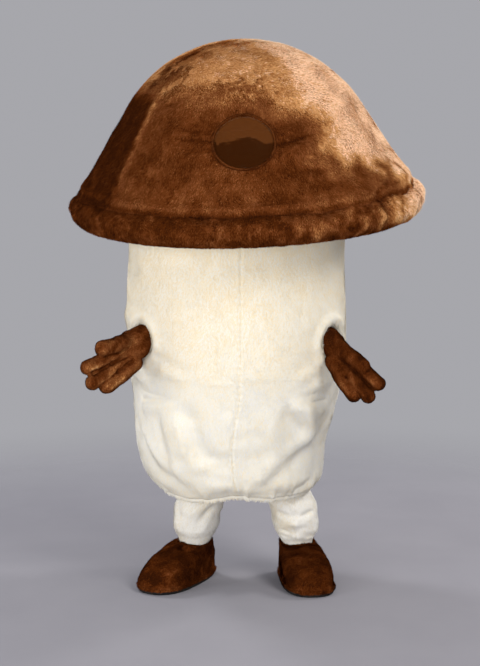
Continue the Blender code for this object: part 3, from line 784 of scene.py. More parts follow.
def crown_tone_and_painted_light(points):
    """The shade of the crown's pile: pale on the top and the right, dark on the left flank. This is partly
    how the nap is brushed and partly painted light: a painted highlight on the top and the right, and painted
    shade on the left flank.
    """
    place = to_cap(points)
    degrees = np.degrees(cap_turn(place))
    height = place[:, 2]
    radius = np.hypot(place[:, 0], place[:, 1])
    clumps = noise(points, 0.045, 12)
    tufts = noise(points, 0.015, 13, (1, 1, 0.6))
    tone = 0.34 + 0.04 * noise(points, 0.16, 11)
    brushed = noise(points, 0.040, 17, (0.5, 1, 1.6))
    # Paler towards the top, less so on the left: partly the nap's colour, partly painted light from above and
    # the right.
    golden = 0.80 + 0.07 * brushed - 0.10 * rises(-degrees, 20, 60)
    tone = towards(tone, golden, rises(height + 0.016 * brushed, 0.29, 0.50))
    wander = degrees + 3 * noise(points, 0.09, 14) + 2.5 * noise(points, 0.02, 16)
    # Paler on the right: painted light from the upper right.
    tone += 0.07 * rises(degrees, 20, 40) * (1 - rises(degrees, 60, 90))
    level = height - np.interp(degrees, (26, 45, 58, 72), (0.105, 0.115, 0.075, -0.02)) + 0.025 * clumps
    ochre = rises(wander, 3, 18) * (1 - rises(wander, 31, 37)) * rises(radius, 0.08, 0.18)
    tone = towards(tone, 0.74, ochre * rises(height + 0.02 * clumps, 0.29, 0.39))
    # The pale right flank: partly the nap's colour, partly a painted highlight of the light from the upper
    # right.
    start = np.interp(height, (0.17, 0.28), (13, 24))
    end = np.interp(height, (0.17, 0.30, 0.38), (44, 50, 40))
    right = rises(wander, start, end) * (1 - rises(wander, 120, 165)) * rises(radius, 0.03, 0.14)
    tone = towards(tone, 0.95, right * rises(level, -0.01, 0.13))
    # The dark left flank: painted shade over the nap's darker colour.
    left = rises(-wander, 51, 57) * (1 - rises(-wander, 100, 140))
    tone = towards(tone, 0.08, 0.95 * left * rises(height, 0.42, 0.35))
    # A painted highlight along the ridge of the left seam.
    tone += 0.15 * hump(degrees, -50.5, 2.0) * rises(height, 0.45, 0.37) * rises(height, 0.06, 0.16)
    tone -= 0.10 * hump(degrees, 0, 16) * hump(height, 0.31, 0.07)
    curls = hump(degrees, 0, 18) * hump(height, 0.43, 0.05)
    tone += curls * 0.18 * noise(points, 0.012, 15)
    tone += 0.06 * clumps * (1 + rises(height, 0.25, 0.10)) + 0.055 * tufts
    # A painted highlight along the ridge above the seam over the roll, and painted shade in the crease just
    # below it.
    above_seam = height + seam_dip(degrees)
    tone += 0.09 * hump(above_seam, 0.070, 0.009) - 0.13 * hump(above_seam, 0.050, 0.009)
    # Painted shade in the dents of the creases, darker where they are deeper.
    dark = 0
    for start, end, width, depth in CROWN_CREASES:
        if depth < 0:
            dark = dark + crease(place, crown_place(*start), crown_place(*end), 0.7 * width, -30 * depth)
    return np.clip(tone, 0.03, 0.99) - dark


def crown_flow(points):
    """The crown's pile is brushed down its slope, drifting to the right on the top."""
    place = to_cap(points)
    out = unit(np.stack([place[:, 0], place[:, 1], 0 * place[:, 0]], axis=1) + (0.001, 0, 0))
    drift = rises(place[:, 2], 0.33, 0.48)[:, None] * np.array((0.9, 0.15, 0))
    return (out * 0.62 + np.array((0, 0, -0.78)) + drift) @ CAP_AXES.T


def window_centre():
    """The window's middle on the crown's flank, in the cap's frame."""
    foot_out = float(crown_radius(np.array(CROWN_FOOT)))
    rise = (foot_out - WINDOW_OUT) * math.tan(CROWN_FLANK_TURN)
    return np.array((WINDOW_ASIDE, -WINDOW_OUT, CROWN_FOOT + rise))


def window_place(aside, up, lift):
    """Points lifted off the crown's surface, at (aside, up) from the window's middle, in the world."""
    centre = window_centre()
    aside, up = aside * WINDOW_WIDER, up / WINDOW_WIDER
    depth = np.zeros_like(aside)
    for _ in range(10):
        flat = np.stack([aside, up, depth], axis=-1)
        place = flat @ WINDOW_TURN.T + centre
        wrong = np.hypot(place[..., 0], place[..., 1]) - crown_radius(place[..., 2], -lift)
        depth = depth - wrong * math.sin(CROWN_FLANK_TURN)
    return to_world(np.stack([aside, up, depth], axis=-1) @ WINDOW_TURN.T + centre)


def window_distance(points):
    """How far world points are from the window's axis."""
    local = (to_cap(points) - window_centre()) @ WINDOW_TURN
    far = np.hypot(local[:, 0] / WINDOW_WIDER, local[:, 1] * WINDOW_WIDER)
    return np.where(local[:, 2] > -0.1, far, 9.0)


def rounded_hole(obj, distance, radius):
    """Moves the hole's edge onto its circle. distance(points) is how far points are from its axis."""
    with edited(obj.data) as shape:
        edge = [vert for vert in shape.verts if vert.is_boundary]
        points = np.array([vert.co for vert in edge])
        far = distance(points)
        step = 1e-4
        slope = np.stack([distance(points + axis * step) - far for axis in np.eye(3)], axis=1)
        moved = points + unit(slope / step) * (radius - far)[:, None]
        for vert, place, away in zip(edge, moved, far):
            if abs(away - radius) < 0.015:
                vert.co = place


def build_crown():
    """The dome's plush, with a round hole for the window."""
    grid = crown_grid(CROWN_ROWS, CROWN_COLUMNS, CROWN_INSET)
    normals = grid_normals(grid)
    flat = grid.reshape(-1, 3)
    hole = WINDOW_RADIUS + WINDOW_BINDING - 0.001
    relief = crown_relief(flat) * rises(window_distance(to_world(flat)), hole, hole + 0.02)
    relief = relief.reshape(grid.shape[:2])
    # The first row is the top itself.
    normals[0] = (0, 0, 1)
    relief[0] = relief[1].mean()
    world = to_world(grid + normals * relief[..., None])
    skin = grid_object("crown_skin", world, lambda middles: window_distance(middles) > hole)
    rounded_hole(skin, window_distance, hole)
    shade_skin(skin, crown_tone_and_painted_light, BROWN_SKINS)
    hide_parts("cap_plush")
    pile = grow_pile("crown_pile", skin, "crown", crown_flow, crown_tone_and_painted_light, BROWN_PILE, coarse=1.25)
    return [(skin, "brown_plush"), (pile, "brown_plush")]


def build_net():
    """The window's see-through net of flat threads, darker below a line that rises in the middle: painted
    shade of the cap's inside behind it.
    """
    strips = []
    steps = 22
    for down in (0, 1):
        count = int(WINDOW_RADIUS / THREAD_PITCH)
        for i in range(-count, count + 1):
            off = i * THREAD_PITCH
            reach = math.sqrt(max((WINDOW_RADIUS + 0.002) ** 2 - off**2, 1e-6))
            along = np.linspace(-reach, reach, steps)
            edges = []
            for edge in (-THREAD_WIDTH / 2, THREAD_WIDTH / 2):
                across = np.full(steps, off + edge)
                aside, up = (across, along) if down else (along, across)
                edges.append(window_place(aside, up, -WINDOW_DEPTH - 0.0004 * down))
            strips.append(np.stack(edges if down else edges[::-1], axis=0))
    points = np.concatenate([strip.reshape(-1, 3) for strip in strips])
    one = grid_faces(2, steps, False).reshape(-1, 4)
    faces = np.concatenate([one + 2 * steps * i for i in range(len(strips))])
    net = mesh_object("window_net", points, faces, weld=0)
    for name, dark, light in (
        ("net_thread", (0.082, 0.023, 0.0050), (0.140, 0.046, 0.0120)),
        ("net_thread_painted_shade", (0.026, 0.0065, 0.0012), (0.058, 0.0160, 0.0035)),
    ):
        net.data.materials.append(thread_material(name, dark, light, 900))
    middles = points[faces].mean(axis=1)
    # Threads below this line get the painted shade of the cap's inside behind the net.
    line = RIM_HEIGHT + 0.183 + 0.020 * hump(middles[:, 0], WINDOW_ASIDE, 0.045)
    soft = 0.012 * noise(middles, 0.004, 46)
    net.data.polygons.foreach_set("material_index", (middles[:, 2] + soft < line).astype(np.int32))
    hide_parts("cap_window")
    return [(net, "dark_mesh")]


def build_binding():
    """The tape with its stitches that binds the hole, and the plush that closes over its edge."""
    around = full_circle(200)
    middle = WINDOW_RADIUS + WINDOW_BINDING / 2
    rings = []
    for angle in full_circle(12):
        pucker = 1 + 0.10 * np.sin(around * STITCHES) * max(0, math.sin(angle))
        radius = middle + 0.0040 * math.cos(angle) * pucker
        lift = -0.0010 + 0.0024 * math.sin(angle) * pucker
        rings.append(lifted_ring(radius, lift, around))
    grid = np.stack(rings[::-1] + [rings[-1]], axis=0)
    binding = grid_object("window_tape", grid)
    weave = thread_material("tape_weave", (0.090, 0.024, 0.0045), (0.170, 0.056, 0.0140), 420)
    binding.data.materials.append(weave)
    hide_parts("window_binding")

    def tone(points):
        return crown_tone_and_painted_light(points) - 0.12

    fur = grow_pile("window_fur", binding, "window", crown_flow, tone, BROWN_PILE)
    stitches = build_stitches(middle)
    return [(binding, "brown_binding"), (fur, "brown_plush"), (stitches, "brown_binding")]


def lifted_ring(radius, lift, around):
    """A ring round the window on the crown's surface, lifted off it by a length of its own at each point."""
    low = window_place(radius * np.sin(around), radius * np.cos(around), 0.0)
    high = window_place(radius * np.sin(around), radius * np.cos(around), 0.010)
    return low + unit(high - low) * np.broadcast_to(lift, around.shape)[:, None]


def build_stitches(radius):
    """Slanting stitches of pale thread along the tape."""
    parts = []
    for i in range(STITCHES):
        turns = 2 * math.pi * (np.array((0, 0.55)) + i) / STITCHES
        ends = lifted_ring(radius + np.array((-0.0010, 0.0010)), 0.0012, turns)
        parts.append(capsule(ends[0], ends[1], 0.0006, 0.0006, 6, 5))
    stitches = joined("window_stitches", parts)
    thread = thread_material("stitch_thread", (0.13, 0.048, 0.016), (0.22, 0.090, 0.034), 1500)
    stitches.data.materials.append(thread)
    return stitches


def rim_pleats(degrees):
    """How deep the roll's plush is drawn in at its side gathers."""
    left = hump(degrees, -76, 14) * rises(np.cos(np.radians(degrees) * 37), 0.35, 1.0)
    right = hump(degrees, 78, 17) * rises(np.cos(np.radians(degrees) * 43 + 1.0), 0.45, 1.0)
    return 0.0095 * left + 0.0050 * right


def rim_tone_and_painted_light(points):
    place = to_cap(points)
    degrees = np.degrees(cap_turn(place))
    lumps = noise(points, 0.028, 32)
    tone = 0.22 + 0.06 * noise(points, 0.09, 31) + 0.10 * noise(points, 0.011, 33)
    tone += 0.10 * rises(degrees, -60, 10)
    tone += lumps * (0.11 + 0.18 * hump(degrees, 50, 40))
    # The pale right corner: partly the nap's colour, partly a painted highlight of the light from the right.
    pale = np.minimum(1, 1.25 * hump(degrees, 92, 36)) * rises(place[:, 2] + 0.02 * lumps, -0.075, -0.030)
    tone = towards(tone, 1.08, pale) + 0.14 * lumps * pale
    tone += 0.20 * hump(degrees, -84, 20) * noise(points, 0.014, 34)
    # Painted shade in the gathers, darker where they are drawn in deeper.
    tone -= 13 * rim_pleats(degrees)
    # Painted shade along the roll's top, where it runs in under the crown's foot, except in the pale corner.
    return tone - 0.15 * rises(place[:, 2], 0.022, 0.042) * (1 - pale)


def rim_flow(points):
    place = to_cap(points)
    out = unit(np.stack([place[:, 0], place[:, 1], 0 * place[:, 0]], axis=1))
    return (out * 0.3 * rises(place[:, 2], 0.0, 0.04)[:, None] + np.array((0, 0, -1))) @ CAP_AXES.T


def build_rim():
    """The stuffed roll: a tube of plush that lumps and gathers where it is sewn on."""
    turn, angle = tube_angles(560, 30)
    degrees = np.degrees(turn_from(turn, 0))
    flat = round_axis(ROLL_RADIUS, turn, np.sin(angle) * ROLL_THICKNESS).reshape(-1, 3)
    lumps = noise(flat, 0.055, 41) * 0.0030 + noise(flat, 0.026, 42) * 0.0032
    unrolled = np.stack([turn * ROLL_RADIUS, 0.12 * angle * ROLL_THICKNESS, 0 * turn], axis=-1)
    gathers = noise(unrolled.reshape(-1, 3), 0.013, 43)
    seam = 0.35 + 0.65 * np.abs(np.sin(angle)).reshape(-1) ** 3
    corner = (hump(degrees, 66, 40) + 0.8 * hump(degrees, -86, 16)).reshape(-1)
    relief = lumps * (1 + 1.3 * corner) + gathers * (0.0014 + 0.0050 * corner) * seam
    relief -= 0.004 * corner * np.maximum(0, noise(flat, 0.030, 44))
    big = noise(flat, 0.085, 45).reshape(turn.shape) * 0.0060 * hump(degrees, 66, 40)
    relief = (relief.reshape(turn.shape) + big) * (1 - 0.75 * np.maximum(0, -np.sin(angle)))
    relief -= seam_dip(degrees) * rises(np.sin(angle), 0.20, 0.85) + 0.007 * hump(degrees, -92, 36)
    relief -= rim_pleats(degrees + 4 * np.sin(3 * angle)) * rises(np.sin(angle), -0.7, 0.2)
    thickness = ROLL_THICKNESS - ROLL_INSET + relief
    grid = round_axis(
        ROLL_RADIUS + thickness * np.cos(angle), turn, -ROLL_DROP + thickness * np.sin(angle)
    )
    grid[-1] = grid[0]
    skin = grid_object("rim_skin", to_world(grid))
    shade_skin(skin, rim_tone_and_painted_light, BROWN_SKINS)
    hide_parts("cap_rim_roll")

    def outside(points):
        place = to_cap(points)
        return np.hypot(place[:, 0], place[:, 1]) > ROLL_RADIUS - 0.030

    pile = grow_pile("rim_pile", skin, "rim", rim_flow, rim_tone_and_painted_light, BROWN_PILE, outside)
    return [(skin, "brown_plush"), (pile, "brown_plush")]


def level_of_cap(points, level):
    """The world's height over each of the points at which the cap's own frame has this level."""
    up = CAP_AXES[:, 2]
    return RIM_HEIGHT + (level - points[:, :2] @ up[:2]) / up[2]


def build_underside():
    """Cream cloth, gathered from the roll in to the stem."""
    turns = full_circle(420)
    outer = to_world(round_axis(UNDERSIDE_OUTER, turns, UNDERSIDE_LEVEL))
    inner = round_axis(UNDERSIDE_INNER, turns, 0, STEM_X)
    inner[:, 2] = level_of_cap(inner, UNDERSIDE_LEVEL - 0.008)
    share = np.linspace(0, 1, 16)[:, None, None]
    grid = towards(outer, inner, share)
    waves = 0.0016 * np.sin(turns * 84) + 0.0016 * np.sin(turns * 47 + 1.3)
    sag = -0.006 * np.sin(np.pi * share[..., 0])
    grid[..., 2] += sag + waves[None] * (0.4 + share[..., 0])
    cloth = grid_object("underside_cloth", grid)
    cloth.data.materials.append(CREAM_SKINS[1])
    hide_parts("cap_underside")
    return [(cloth, "cream_plush")]


# Stem


def stem_aside(height):
    share = np.clip((height - STEM_FOOT) / (DRAPE_TOP - STEM_FOOT), 0, 1)
    return STEM_X + DRAPE_ASIDE * np.sin(np.pi * share)


STEM_RADIUS = smoothed(STEM_PROFILE, 1, 0.022)


def stem_surface(turn, height):
    return round_axis(STEM_RADIUS(height) - STEM_INSET, turn, height, stem_aside(height))


def armhole_place(side):
    """The armhole's centre on the plush, and the way out through it."""
    out = round_axis(1, ARMHOLE_TURNS[side], 0)
    height = ARMHOLE_HEIGHTS[side]
    radius = np.interp(height, *np.array(STEM_PROFILE[::-1]).T)
    return np.array((STEM_X, 0, height)) + out * radius, out


def armhole_distance(side):
    centre, out = armhole_place(side)

    def far(points):
        local = points - centre
        depth = local @ out
        away = np.linalg.norm(local - depth[:, None] * out, axis=1)
        return np.where(depth > -0.2, away, 9.0)

    return far


def armhole_folds(points, side):
    """Creases that spread from an armhole, and the plush raised round it."""
    centre, out = armhole_place(side)
    local = points - centre
    across = np.cross((0, 0, 1), out)
    away = armhole_distance(side)(points) - ARMHOLE_RADIUS
    angle = np.arctan2(local[:, 2], local @ across)
    near = np.exp(-np.maximum(away, 0) / 0.045)
    folds = np.cos(9 * angle + 1.2 + 3 * noise(points, 0.08, 51)) * 0.0032
    folds += np.cos(5 * angle + 0.4) * 0.0022
    return near * folds * rises(away, 0.004, 0.03) + 0.010 * hump(away, 0.016, 0.015)


STEM_CREASES = (  # start and end as (turn in degrees, height), width, depth
    ((-80, 0.985), (-50, 1.000), 0.032, 0.009),
    ((72, 0.975), (48, 0.990), 0.030, 0.008),
    ((-84, 0.835), (-60, 0.812), 0.024, 0.009),
    ((84, 0.830), (62, 0.808), 0.024, 0.009),
    ((-44, 0.850), (-20, 0.810), 0.020, -0.004),
    ((-40, 0.820), (-22, 0.765), 0.026, 0.006),
    ((-62, 0.828), (-44, 0.745), 0.018, -0.006),
    ((-64, 0.790), (-40, 0.748), 0.022, 0.012),
    ((-60, 0.712), (-30, 0.716), 0.018, -0.014),
    ((-56, 0.672), (-26, 0.700), 0.022, 0.010),
    ((46, 0.842), (26, 0.805), 0.020, -0.004),
    ((42, 0.815), (26, 0.765), 0.026, 0.006),
    ((64, 0.822), (50, 0.745), 0.018, -0.006),
    ((58, 0.770), (36, 0.745), 0.022, 0.012),
    ((57, 0.704), (32, 0.722), 0.020, -0.009),
    ((55, 0.664), (27, 0.700), 0.022, 0.010),
    ((-88, 0.850), (-112, 0.770), 0.020, -0.006),
    ((90, 0.850), (114, 0.770), 0.020, -0.006),
    ((-30, 1.010), (-12, 1.060), 0.016, -0.003),
    ((34, 1.000), (20, 1.070), 0.016, -0.003),
    ((150, 0.900), (176, 0.830), 0.024, -0.006),
    ((-150, 0.940), (-172, 0.850), 0.024, -0.005),
)
STEM_OVERLAPS = (  # start and end as (turn in degrees, height), width, and height of the bulge beside it
    ((-72, 0.640), (-48, 0.463), 0.040, 0.011),
    ((-50, 0.470), (-28, 0.400), 0.038, 0.006),
    ((-30, 0.670), (-20, 0.510), 0.044, -0.013),
    ((-43, 0.650), (-38, 0.440), 0.034, 0.008),
    ((30, 0.690), (47, 0.600), 0.036, 0.011),
    ((62, 0.600), (30, 0.480), 0.044, -0.009),
    ((42, 0.700), (62, 0.520), 0.044, -0.008),
    ((64, 0.390), (46, 0.346), 0.028, 0.008),
    ((-4, 0.415), (-18, 0.520), 0.038, 0.005),
    ((17, 0.395), (30, 0.480), 0.038, 0.005),
    ((16, 0.620), (26, 0.520), 0.034, 0.005),
    ((-14, 0.480), (-4, 0.420), 0.032, 0.005),
    ((100, 0.680), (120, 0.470), 0.042, 0.012),
    ((150, 0.640), (140, 0.430), 0.042, -0.012),
    ((-100, 0.660), (-118, 0.450), 0.042, -0.012),
    ((-150, 0.690), (-160, 0.480), 0.042, 0.011),
    ((178, 0.560), (150, 0.400), 0.036, 0.010),
    ((-130, 0.480), (-110, 0.380), 0.034, 0.009),
)


def front_seam(height):
    """The turn of the seam down the front, which runs a little askew."""
    return np.radians(np.interp(height, (STEM_FOOT, 1.30), (0.6, 2.4)))


def stem_place(turn_degrees, height):
    return stem_surface(np.array(math.radians(turn_degrees)), np.array(height))


def stem_relief(points, turn):
    """How far the cream plush stands off the smooth stem."""
    height = points[:, 2]
    relief = 0.0028 * noise(points, 0.21, 61) + 0.0012 * noise(points, 0.07, 62)
    upright = noise(np.stack([turn * 0.39, 0 * turn, height * 0.18], axis=1), 0.045, 63)
    relief += 0.0016 * upright * rises(height, 1.02, 1.28)
    for side in SIDES:
        relief += armhole_folds(points, side)
    for start, end, width, depth in STEM_CREASES:
        relief += crease(points, stem_place(*start), stem_place(*end), width, depth)
    for start, end, width, bulge in STEM_OVERLAPS:
        relief += overlap(points, stem_place(*start), stem_place(*end), width, bulge)
    loose = rises(height, 0.74, 0.66)
    ripples = noise(np.stack([turn * 0.16, 0 * turn, height], axis=1), 0.036, 64)
    relief += 0.0022 * loose * ripples + 0.0050 * loose * noise(points, 0.100, 65)
    for seam in (front_seam(height), math.pi):
        away = turn_from(turn, seam) * 0.39
        relief -= 0.0034 * hump(away, 0, 0.0036)
        relief += 0.0010 * hump(away, 0, 0.012)
        relief += 0.0007 * hump(away, 0, 0.010) * np.sin(height / 0.0035)
    relief = np.where(height > DRAPE_TOP, np.maximum(relief, STEM_DEEPEST), relief)
    gathers = noise(np.stack([turn * 0.29, 0 * turn, height * 0.2], axis=1), 0.016, 66)
    relief *= rises(height, STEM_FOOT, STEM_FOOT + 0.03)
    return relief + 0.0045 * (0.4 + gathers) * rises(height, 0.44, 0.36)


def cloth_settings(modifier, rest):
    """Heavy plush that hangs from its pins, a little blown up by the air in it, without collisions."""
    settings = modifier.settings
    settings.quality = 5
    settings.mass = 0.4
    settings.air_damping = 3
    settings.tension_stiffness = 20
    settings.compression_stiffness = 12
    settings.shear_stiffness = 5
    settings.bending_stiffness = 0.8
    settings.vertex_group_mass = "pins"
    settings.rest_shape_key = rest
    settings.use_pressure = True
    settings.uniform_pressure_force = 0.25
    settings.effector_weights.gravity = 1.0
    modifier.collision_settings.use_collision = False
    modifier.collision_settings.use_self_collision = False
    modifier.point_cache.frame_start = 1
    modifier.point_cache.frame_end = LOOSE_STEPS


def hung_plush():
    """How far the loose plush moves from its profile, as a grid of shifts over its heights and turns.

    It is a straight tube of cloth, longer and wider than the way it hangs, gathered in at the hem.
    """
    rows, columns = LOOSE_ROWS, LOOSE_COLUMNS
    turn, height = np.meshgrid(full_circle(columns), np.linspace(LOOSE_TOP, STEM_FOOT, rows))
    placed = stem_surface(turn, height)
    uneven = 0.002 * noise(placed.reshape(-1, 3), 0.06, 71).reshape(rows, columns)
    start = placed + grid_normals(placed) * uneven[..., None]
    start[0], start[-1] = placed[0], placed[-1]
    cloth = grid_object("loose_plush", start)
    cloth.shape_key_add(name="placed")
    rest = cloth.shape_key_add(name="cut")
    way = np.linalg.norm(np.diff(placed[:, 0], axis=0), axis=1).sum() * LOOSE_SPARE
    drop = way * (LOOSE_TOP - height) / (LOOSE_TOP - STEM_FOOT)
    rest.data.foreach_set("co", round_axis(LOOSE_CUT, turn, LOOSE_TOP - drop, STEM_X).ravel())
    rest.value = 0
    pins = cloth.vertex_groups.new(name="pins")
    pins.add([*range(2 * columns), *range((rows - 1) * columns, rows * columns)], 1.0, "REPLACE")
    cloth_settings(cloth.modifiers.new("hang", "CLOTH"), rest)
    for step in range(1, LOOSE_STEPS + 1):
        bpy.context.scene.frame_set(step)
    hung = cloth.evaluated_get(bpy.context.evaluated_depsgraph_get()).to_mesh()
    moved = np.empty(rows * columns * 3)
    hung.vertices.foreach_get("co", moved)
    shift = moved.reshape(rows, columns, 3) - placed
    bpy.data.objects.remove(cloth, do_unlink=True)
    bpy.context.scene.frame_set(1)
    for _ in range(3):  # evens out ribs as narrow as the cloth's own columns
        shift = (np.roll(shift, 1, axis=1) + 2 * shift + np.roll(shift, -1, axis=1)) / 4
    far = np.linalg.norm(shift, axis=-1, keepdims=True)
    return shift * np.minimum(1, LOOSE_REACH / np.maximum(far, 1e-9))


def hem_lift(turn):
    """How far the hem rides up at a turn: most between the legs, least over them."""
    degrees = np.degrees(turn_from(turn, 0))
    return 0.008 + 0.016 * hump(degrees, -2, 17) + 0.003 * np.sin(3 * turn + 0.5)


def spread_over(shift, height, turn):
    """Reads a grid of shifts over the loose plush at any heights and turns, smooth between its points."""
    rows, columns, _ = shift.shape
    row = np.clip((LOOSE_TOP - height) / (LOOSE_TOP - STEM_FOOT), 0, 1) * (rows - 1)
    column = (turn / (2 * math.pi) % 1) * columns
    top = np.minimum(row.astype(int), rows - 2)
    left = column.astype(int) % columns
    down = (row - top)[..., None]
    along = (column - column.astype(int))[..., None]
    down, along = down * down * (3 - 2 * down), along * along * (3 - 2 * along)
    right = (left + 1) % columns
    upper = towards(shift[top, left], shift[top, right], along)
    lower = towards(shift[top + 1, left], shift[top + 1, right], along)
    return towards(upper, lower, down)


def stem_tone(points):
    """Warm cream in the middle above, whiter at the armholes and where the loose plush hangs."""
    height = points[:, 2]
    turn = np.arctan2(points[:, 0] - stem_aside(height), -points[:, 1])
    degrees = np.abs(np.degrees(turn))
    tone = 0.30 + 0.14 * noise(points, 0.15, 81) + 0.10 * noise(points, 0.05, 82)
    tone -= 0.18 * rises(height, 0.95, 1.20) * (1 - rises(degrees, 30, 60))
    tone += 0.25 * hump(degrees, 60, 18) * hump(height, 0.93, 0.12)
    tone += 0.42 * rises(height + 0.05 * noise(points, 0.08, 83), 0.92, 0.64)
    tone -= 0.12 * rises(height, 0.45, 0.36)
    return tone - 0.45 * hump(turn_from(turn, front_seam(height)) * 0.39, 0, 0.0035)


def falling(points):
    return np.broadcast_to(np.array((0.0, 0.0, -1.0)), points.shape)


def rolled_under(edge):
    """Rows that carry the plush round the hem's channel, from its edge row."""
    out = unit((edge - (STEM_X, 0, 0)) * (1, 1, 0))
    steps = ((0.0005, -0.006), (-0.0015, -0.011), (-0.0060, -0.0155), (-0.0115, -0.0170), (-0.0165, -0.0165))
    return np.stack([edge + out * away + np.array((0, 0, drop)) for away, drop in steps])


def stem_rows(turns):
    """Heights of the stem's grid: rows that tilt with the cap, level ones, and close ones where loose."""
    level = np.concatenate(
        [np.linspace(STEM_BELOW_CAP, LOOSE_TOP, 56)[:-1], np.linspace(LOOSE_TOP, STEM_FOOT, 84)]
    )
    top = level_of_cap(round_axis(float(STEM_RADIUS(1.3)), turns, 0, STEM_X), STEM_TOP_LEVEL)
    tilted = towards(STEM_BELOW_CAP, top, np.linspace(1, 0, 9)[:-1, None])
    return np.concatenate([tilted, np.repeat(level[:, None], len(turns), axis=1)])


def build_stem():
    """The barrel's plush with its armholes, rolled under at the hem."""
    turns = full_circle(380)
    height = stem_rows(turns)
    turn = np.broadcast_to(turns, height.shape)
    grid = stem_surface(turn, height)
    normals = grid_normals(grid)
    shift = spread_over(hung_plush(), height, turn) * (height <= LOOSE_TOP)[..., None]
    relief = stem_relief(grid.reshape(-1, 3), turn.reshape(-1)).reshape(height.shape)
    grid = grid + normals * relief[..., None] + shift
    grid[..., 2] += hem_lift(turn) * rises(height, STEM_FOOT + 0.16, STEM_FOOT)
    drawn = HEM_DRAWN_IN * rises(height, STEM_FOOT + 0.06, STEM_FOOT) ** 2
    grid -= round_axis(drawn, turn, 0)
    grid = np.concatenate([grid, rolled_under(grid[-1])])

    def solid(middles):
        return np.all([armhole_distance(side)(middles) > ARMHOLE_RADIUS for side in SIDES], axis=0)

    skin = grid_object("stem_skin", grid, solid)
    for side in SIDES:
        rounded_hole(skin, armhole_distance(side), ARMHOLE_RADIUS)
    skin.data.materials.append(CREAM_SKINS[1])
    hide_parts("stem_plush")

    def below_cap(points):
        return points[:, 2] < 1.40

    pile = grow_pile("stem_pile", skin, "stem", falling, stem_tone, CREAM_PILE, below_cap, 0.12, 0.14)
    return [(skin, "cream_plush"), (pile, "cream_plush"), *build_hem()]


def build_hem():
    """The gathered channel of the hem's elastic."""
    turn, angle = tube_angles(480, 14)
    gathers = np.sin(turn * 74) + 0.6 * np.sin(turn * 113 + 1.0)
    thickness = HEM_THICKNESS + 0.0006 * gathers
    out = HEM_RADIUS + thickness * np.cos(angle)
    height = STEM_FOOT - 0.008 + thickness * np.sin(angle)
    grid = round_axis(out, turn, height + hem_lift(turn), STEM_X)
    grid[-1] = grid[0]
    hem = grid_object("hem_channel", grid)
    hem.data.materials.append(CREAM_SKINS[2])
    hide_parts("stem_hem")
    return [(hem, "cream_plush")]


def build_armhole_cuff(side):
    """The elastic round an armhole, puckering the plush that it holds."""
    centre, out = armhole_place(side)
    across = unit(np.cross((0, 0, 1), out))
    turns = full_circle(192)
    ring = np.cos(turns)[:, None] * across + np.sin(turns)[:, None] * np.array((0, 0, 1))
    rings = []
    for i, (radius, depth) in enumerate(ARMHOLE_SECTION):
        fade = 1 - i / len(ARMHOLE_SECTION)
        gathers = (np.sin(turns * 11) + 0.6 * np.sin(turns * 19 + 2)) * 0.0010 * fade
        rings.append(centre + ring * (radius + gathers)[:, None] + out * (depth + gathers[:, None]))
    cuff = grid_object(f"armhole_elastic_{side}", np.stack(rings))
    cuff.data.materials.append(CREAM_SKINS[1])
    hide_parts(f"armhole_cuff_{side}")

    def inward(points):
        local = points - centre
        return 1.4 * out - unit(local - (local @ out)[:, None] * out)

    def outside(points):
        return (points - centre) @ out > -0.010

    pile = grow_pile(
        f"armhole_pile_{side}", cuff, "armhole", inward, stem_tone, CREAM_PILE, outside, 0.3
    )
    return [(cuff, "cream_plush"), (pile, "cream_plush")]


# Gloves


def capsule(start, end, start_radius, end_radius, sides=22, rings=15):
    """A sphere stretched from start to end."""
    start, end = Vector(start), Vector(end)
    turn = (end - start).to_track_quat("Z", "Y")
    mesh = bpy.data.meshes.new("capsule")
    with edited(mesh) as shape:
        bmesh.ops.create_uvsphere(shape, u_segments=sides, v_segments=rings, radius=1)
        for vert in shape.verts:
            near, radius = (end, end_radius) if vert.co.z > 0 else (start, start_radius)
            vert.co = near + turn @ (vert.co * radius)
    return object_of("capsule", mesh)


def hand_frame(side):
    """The wrist, and the ways along the hand, across it to the thumb, and out of the palm."""
    centre, out = armhole_place(side)
    along = Vector(HAND_ALONG[side]).normalized()
    across = Vector(HAND_ACROSS[side])
    across = (across - along * across.dot(along)).normalized()
    palm = along.cross(across) * SIDES[side]
    return Vector(centre + out * WRIST_OUT), along, across, palm


def hand_places(side, places):
    """World points at (along, across, out of the palm) from the wrist."""
    wrist, along, across, palm = hand_frame(side)
    return [wrist + along * a + across * b + palm * c for a, b, c in places]


def glove_parts(side):
    """The glove's rounded lengths, a little under their CAD size, for the pile."""
    centre, out = (Vector(value) for value in armhole_place(side))
    cuff = GLOVE_CUFF_RADIUS - GLOVE_INSET
    end = centre + out * CUFF_END
    heel, wrist = hand_places(side, (HEEL, (0, 0, 0)))
    wrist -= out * WRIST_BACK[side]
    end_radius = CUFF_END_RADIUS[side]
    yield centre - out * GLOVE_CUFF_INSIDE, end, cuff, end_radius
    wrist_radius = WRIST_RADIUS[side]
    yield end, wrist, end_radius, wrist_radius
    yield end, heel, end_radius, HEEL_RADIUS
    for finger in FINGERS:
        root, knuckle, tip = hand_places(side, finger)
        yield root, knuckle, PALM_RADIUS - 0.006, FINGER_RADIUS - 0.001
        yield knuckle, tip, FINGER_RADIUS - 0.002, FINGER_RADIUS - 0.004
    root, tip = hand_places(side, THUMBS[side])
    yield wrist, root, wrist_radius - 0.003, THUMB_RADIUS
    yield root, tip, THUMB_RADIUS - 0.001, THUMB_RADIUS - 0.001


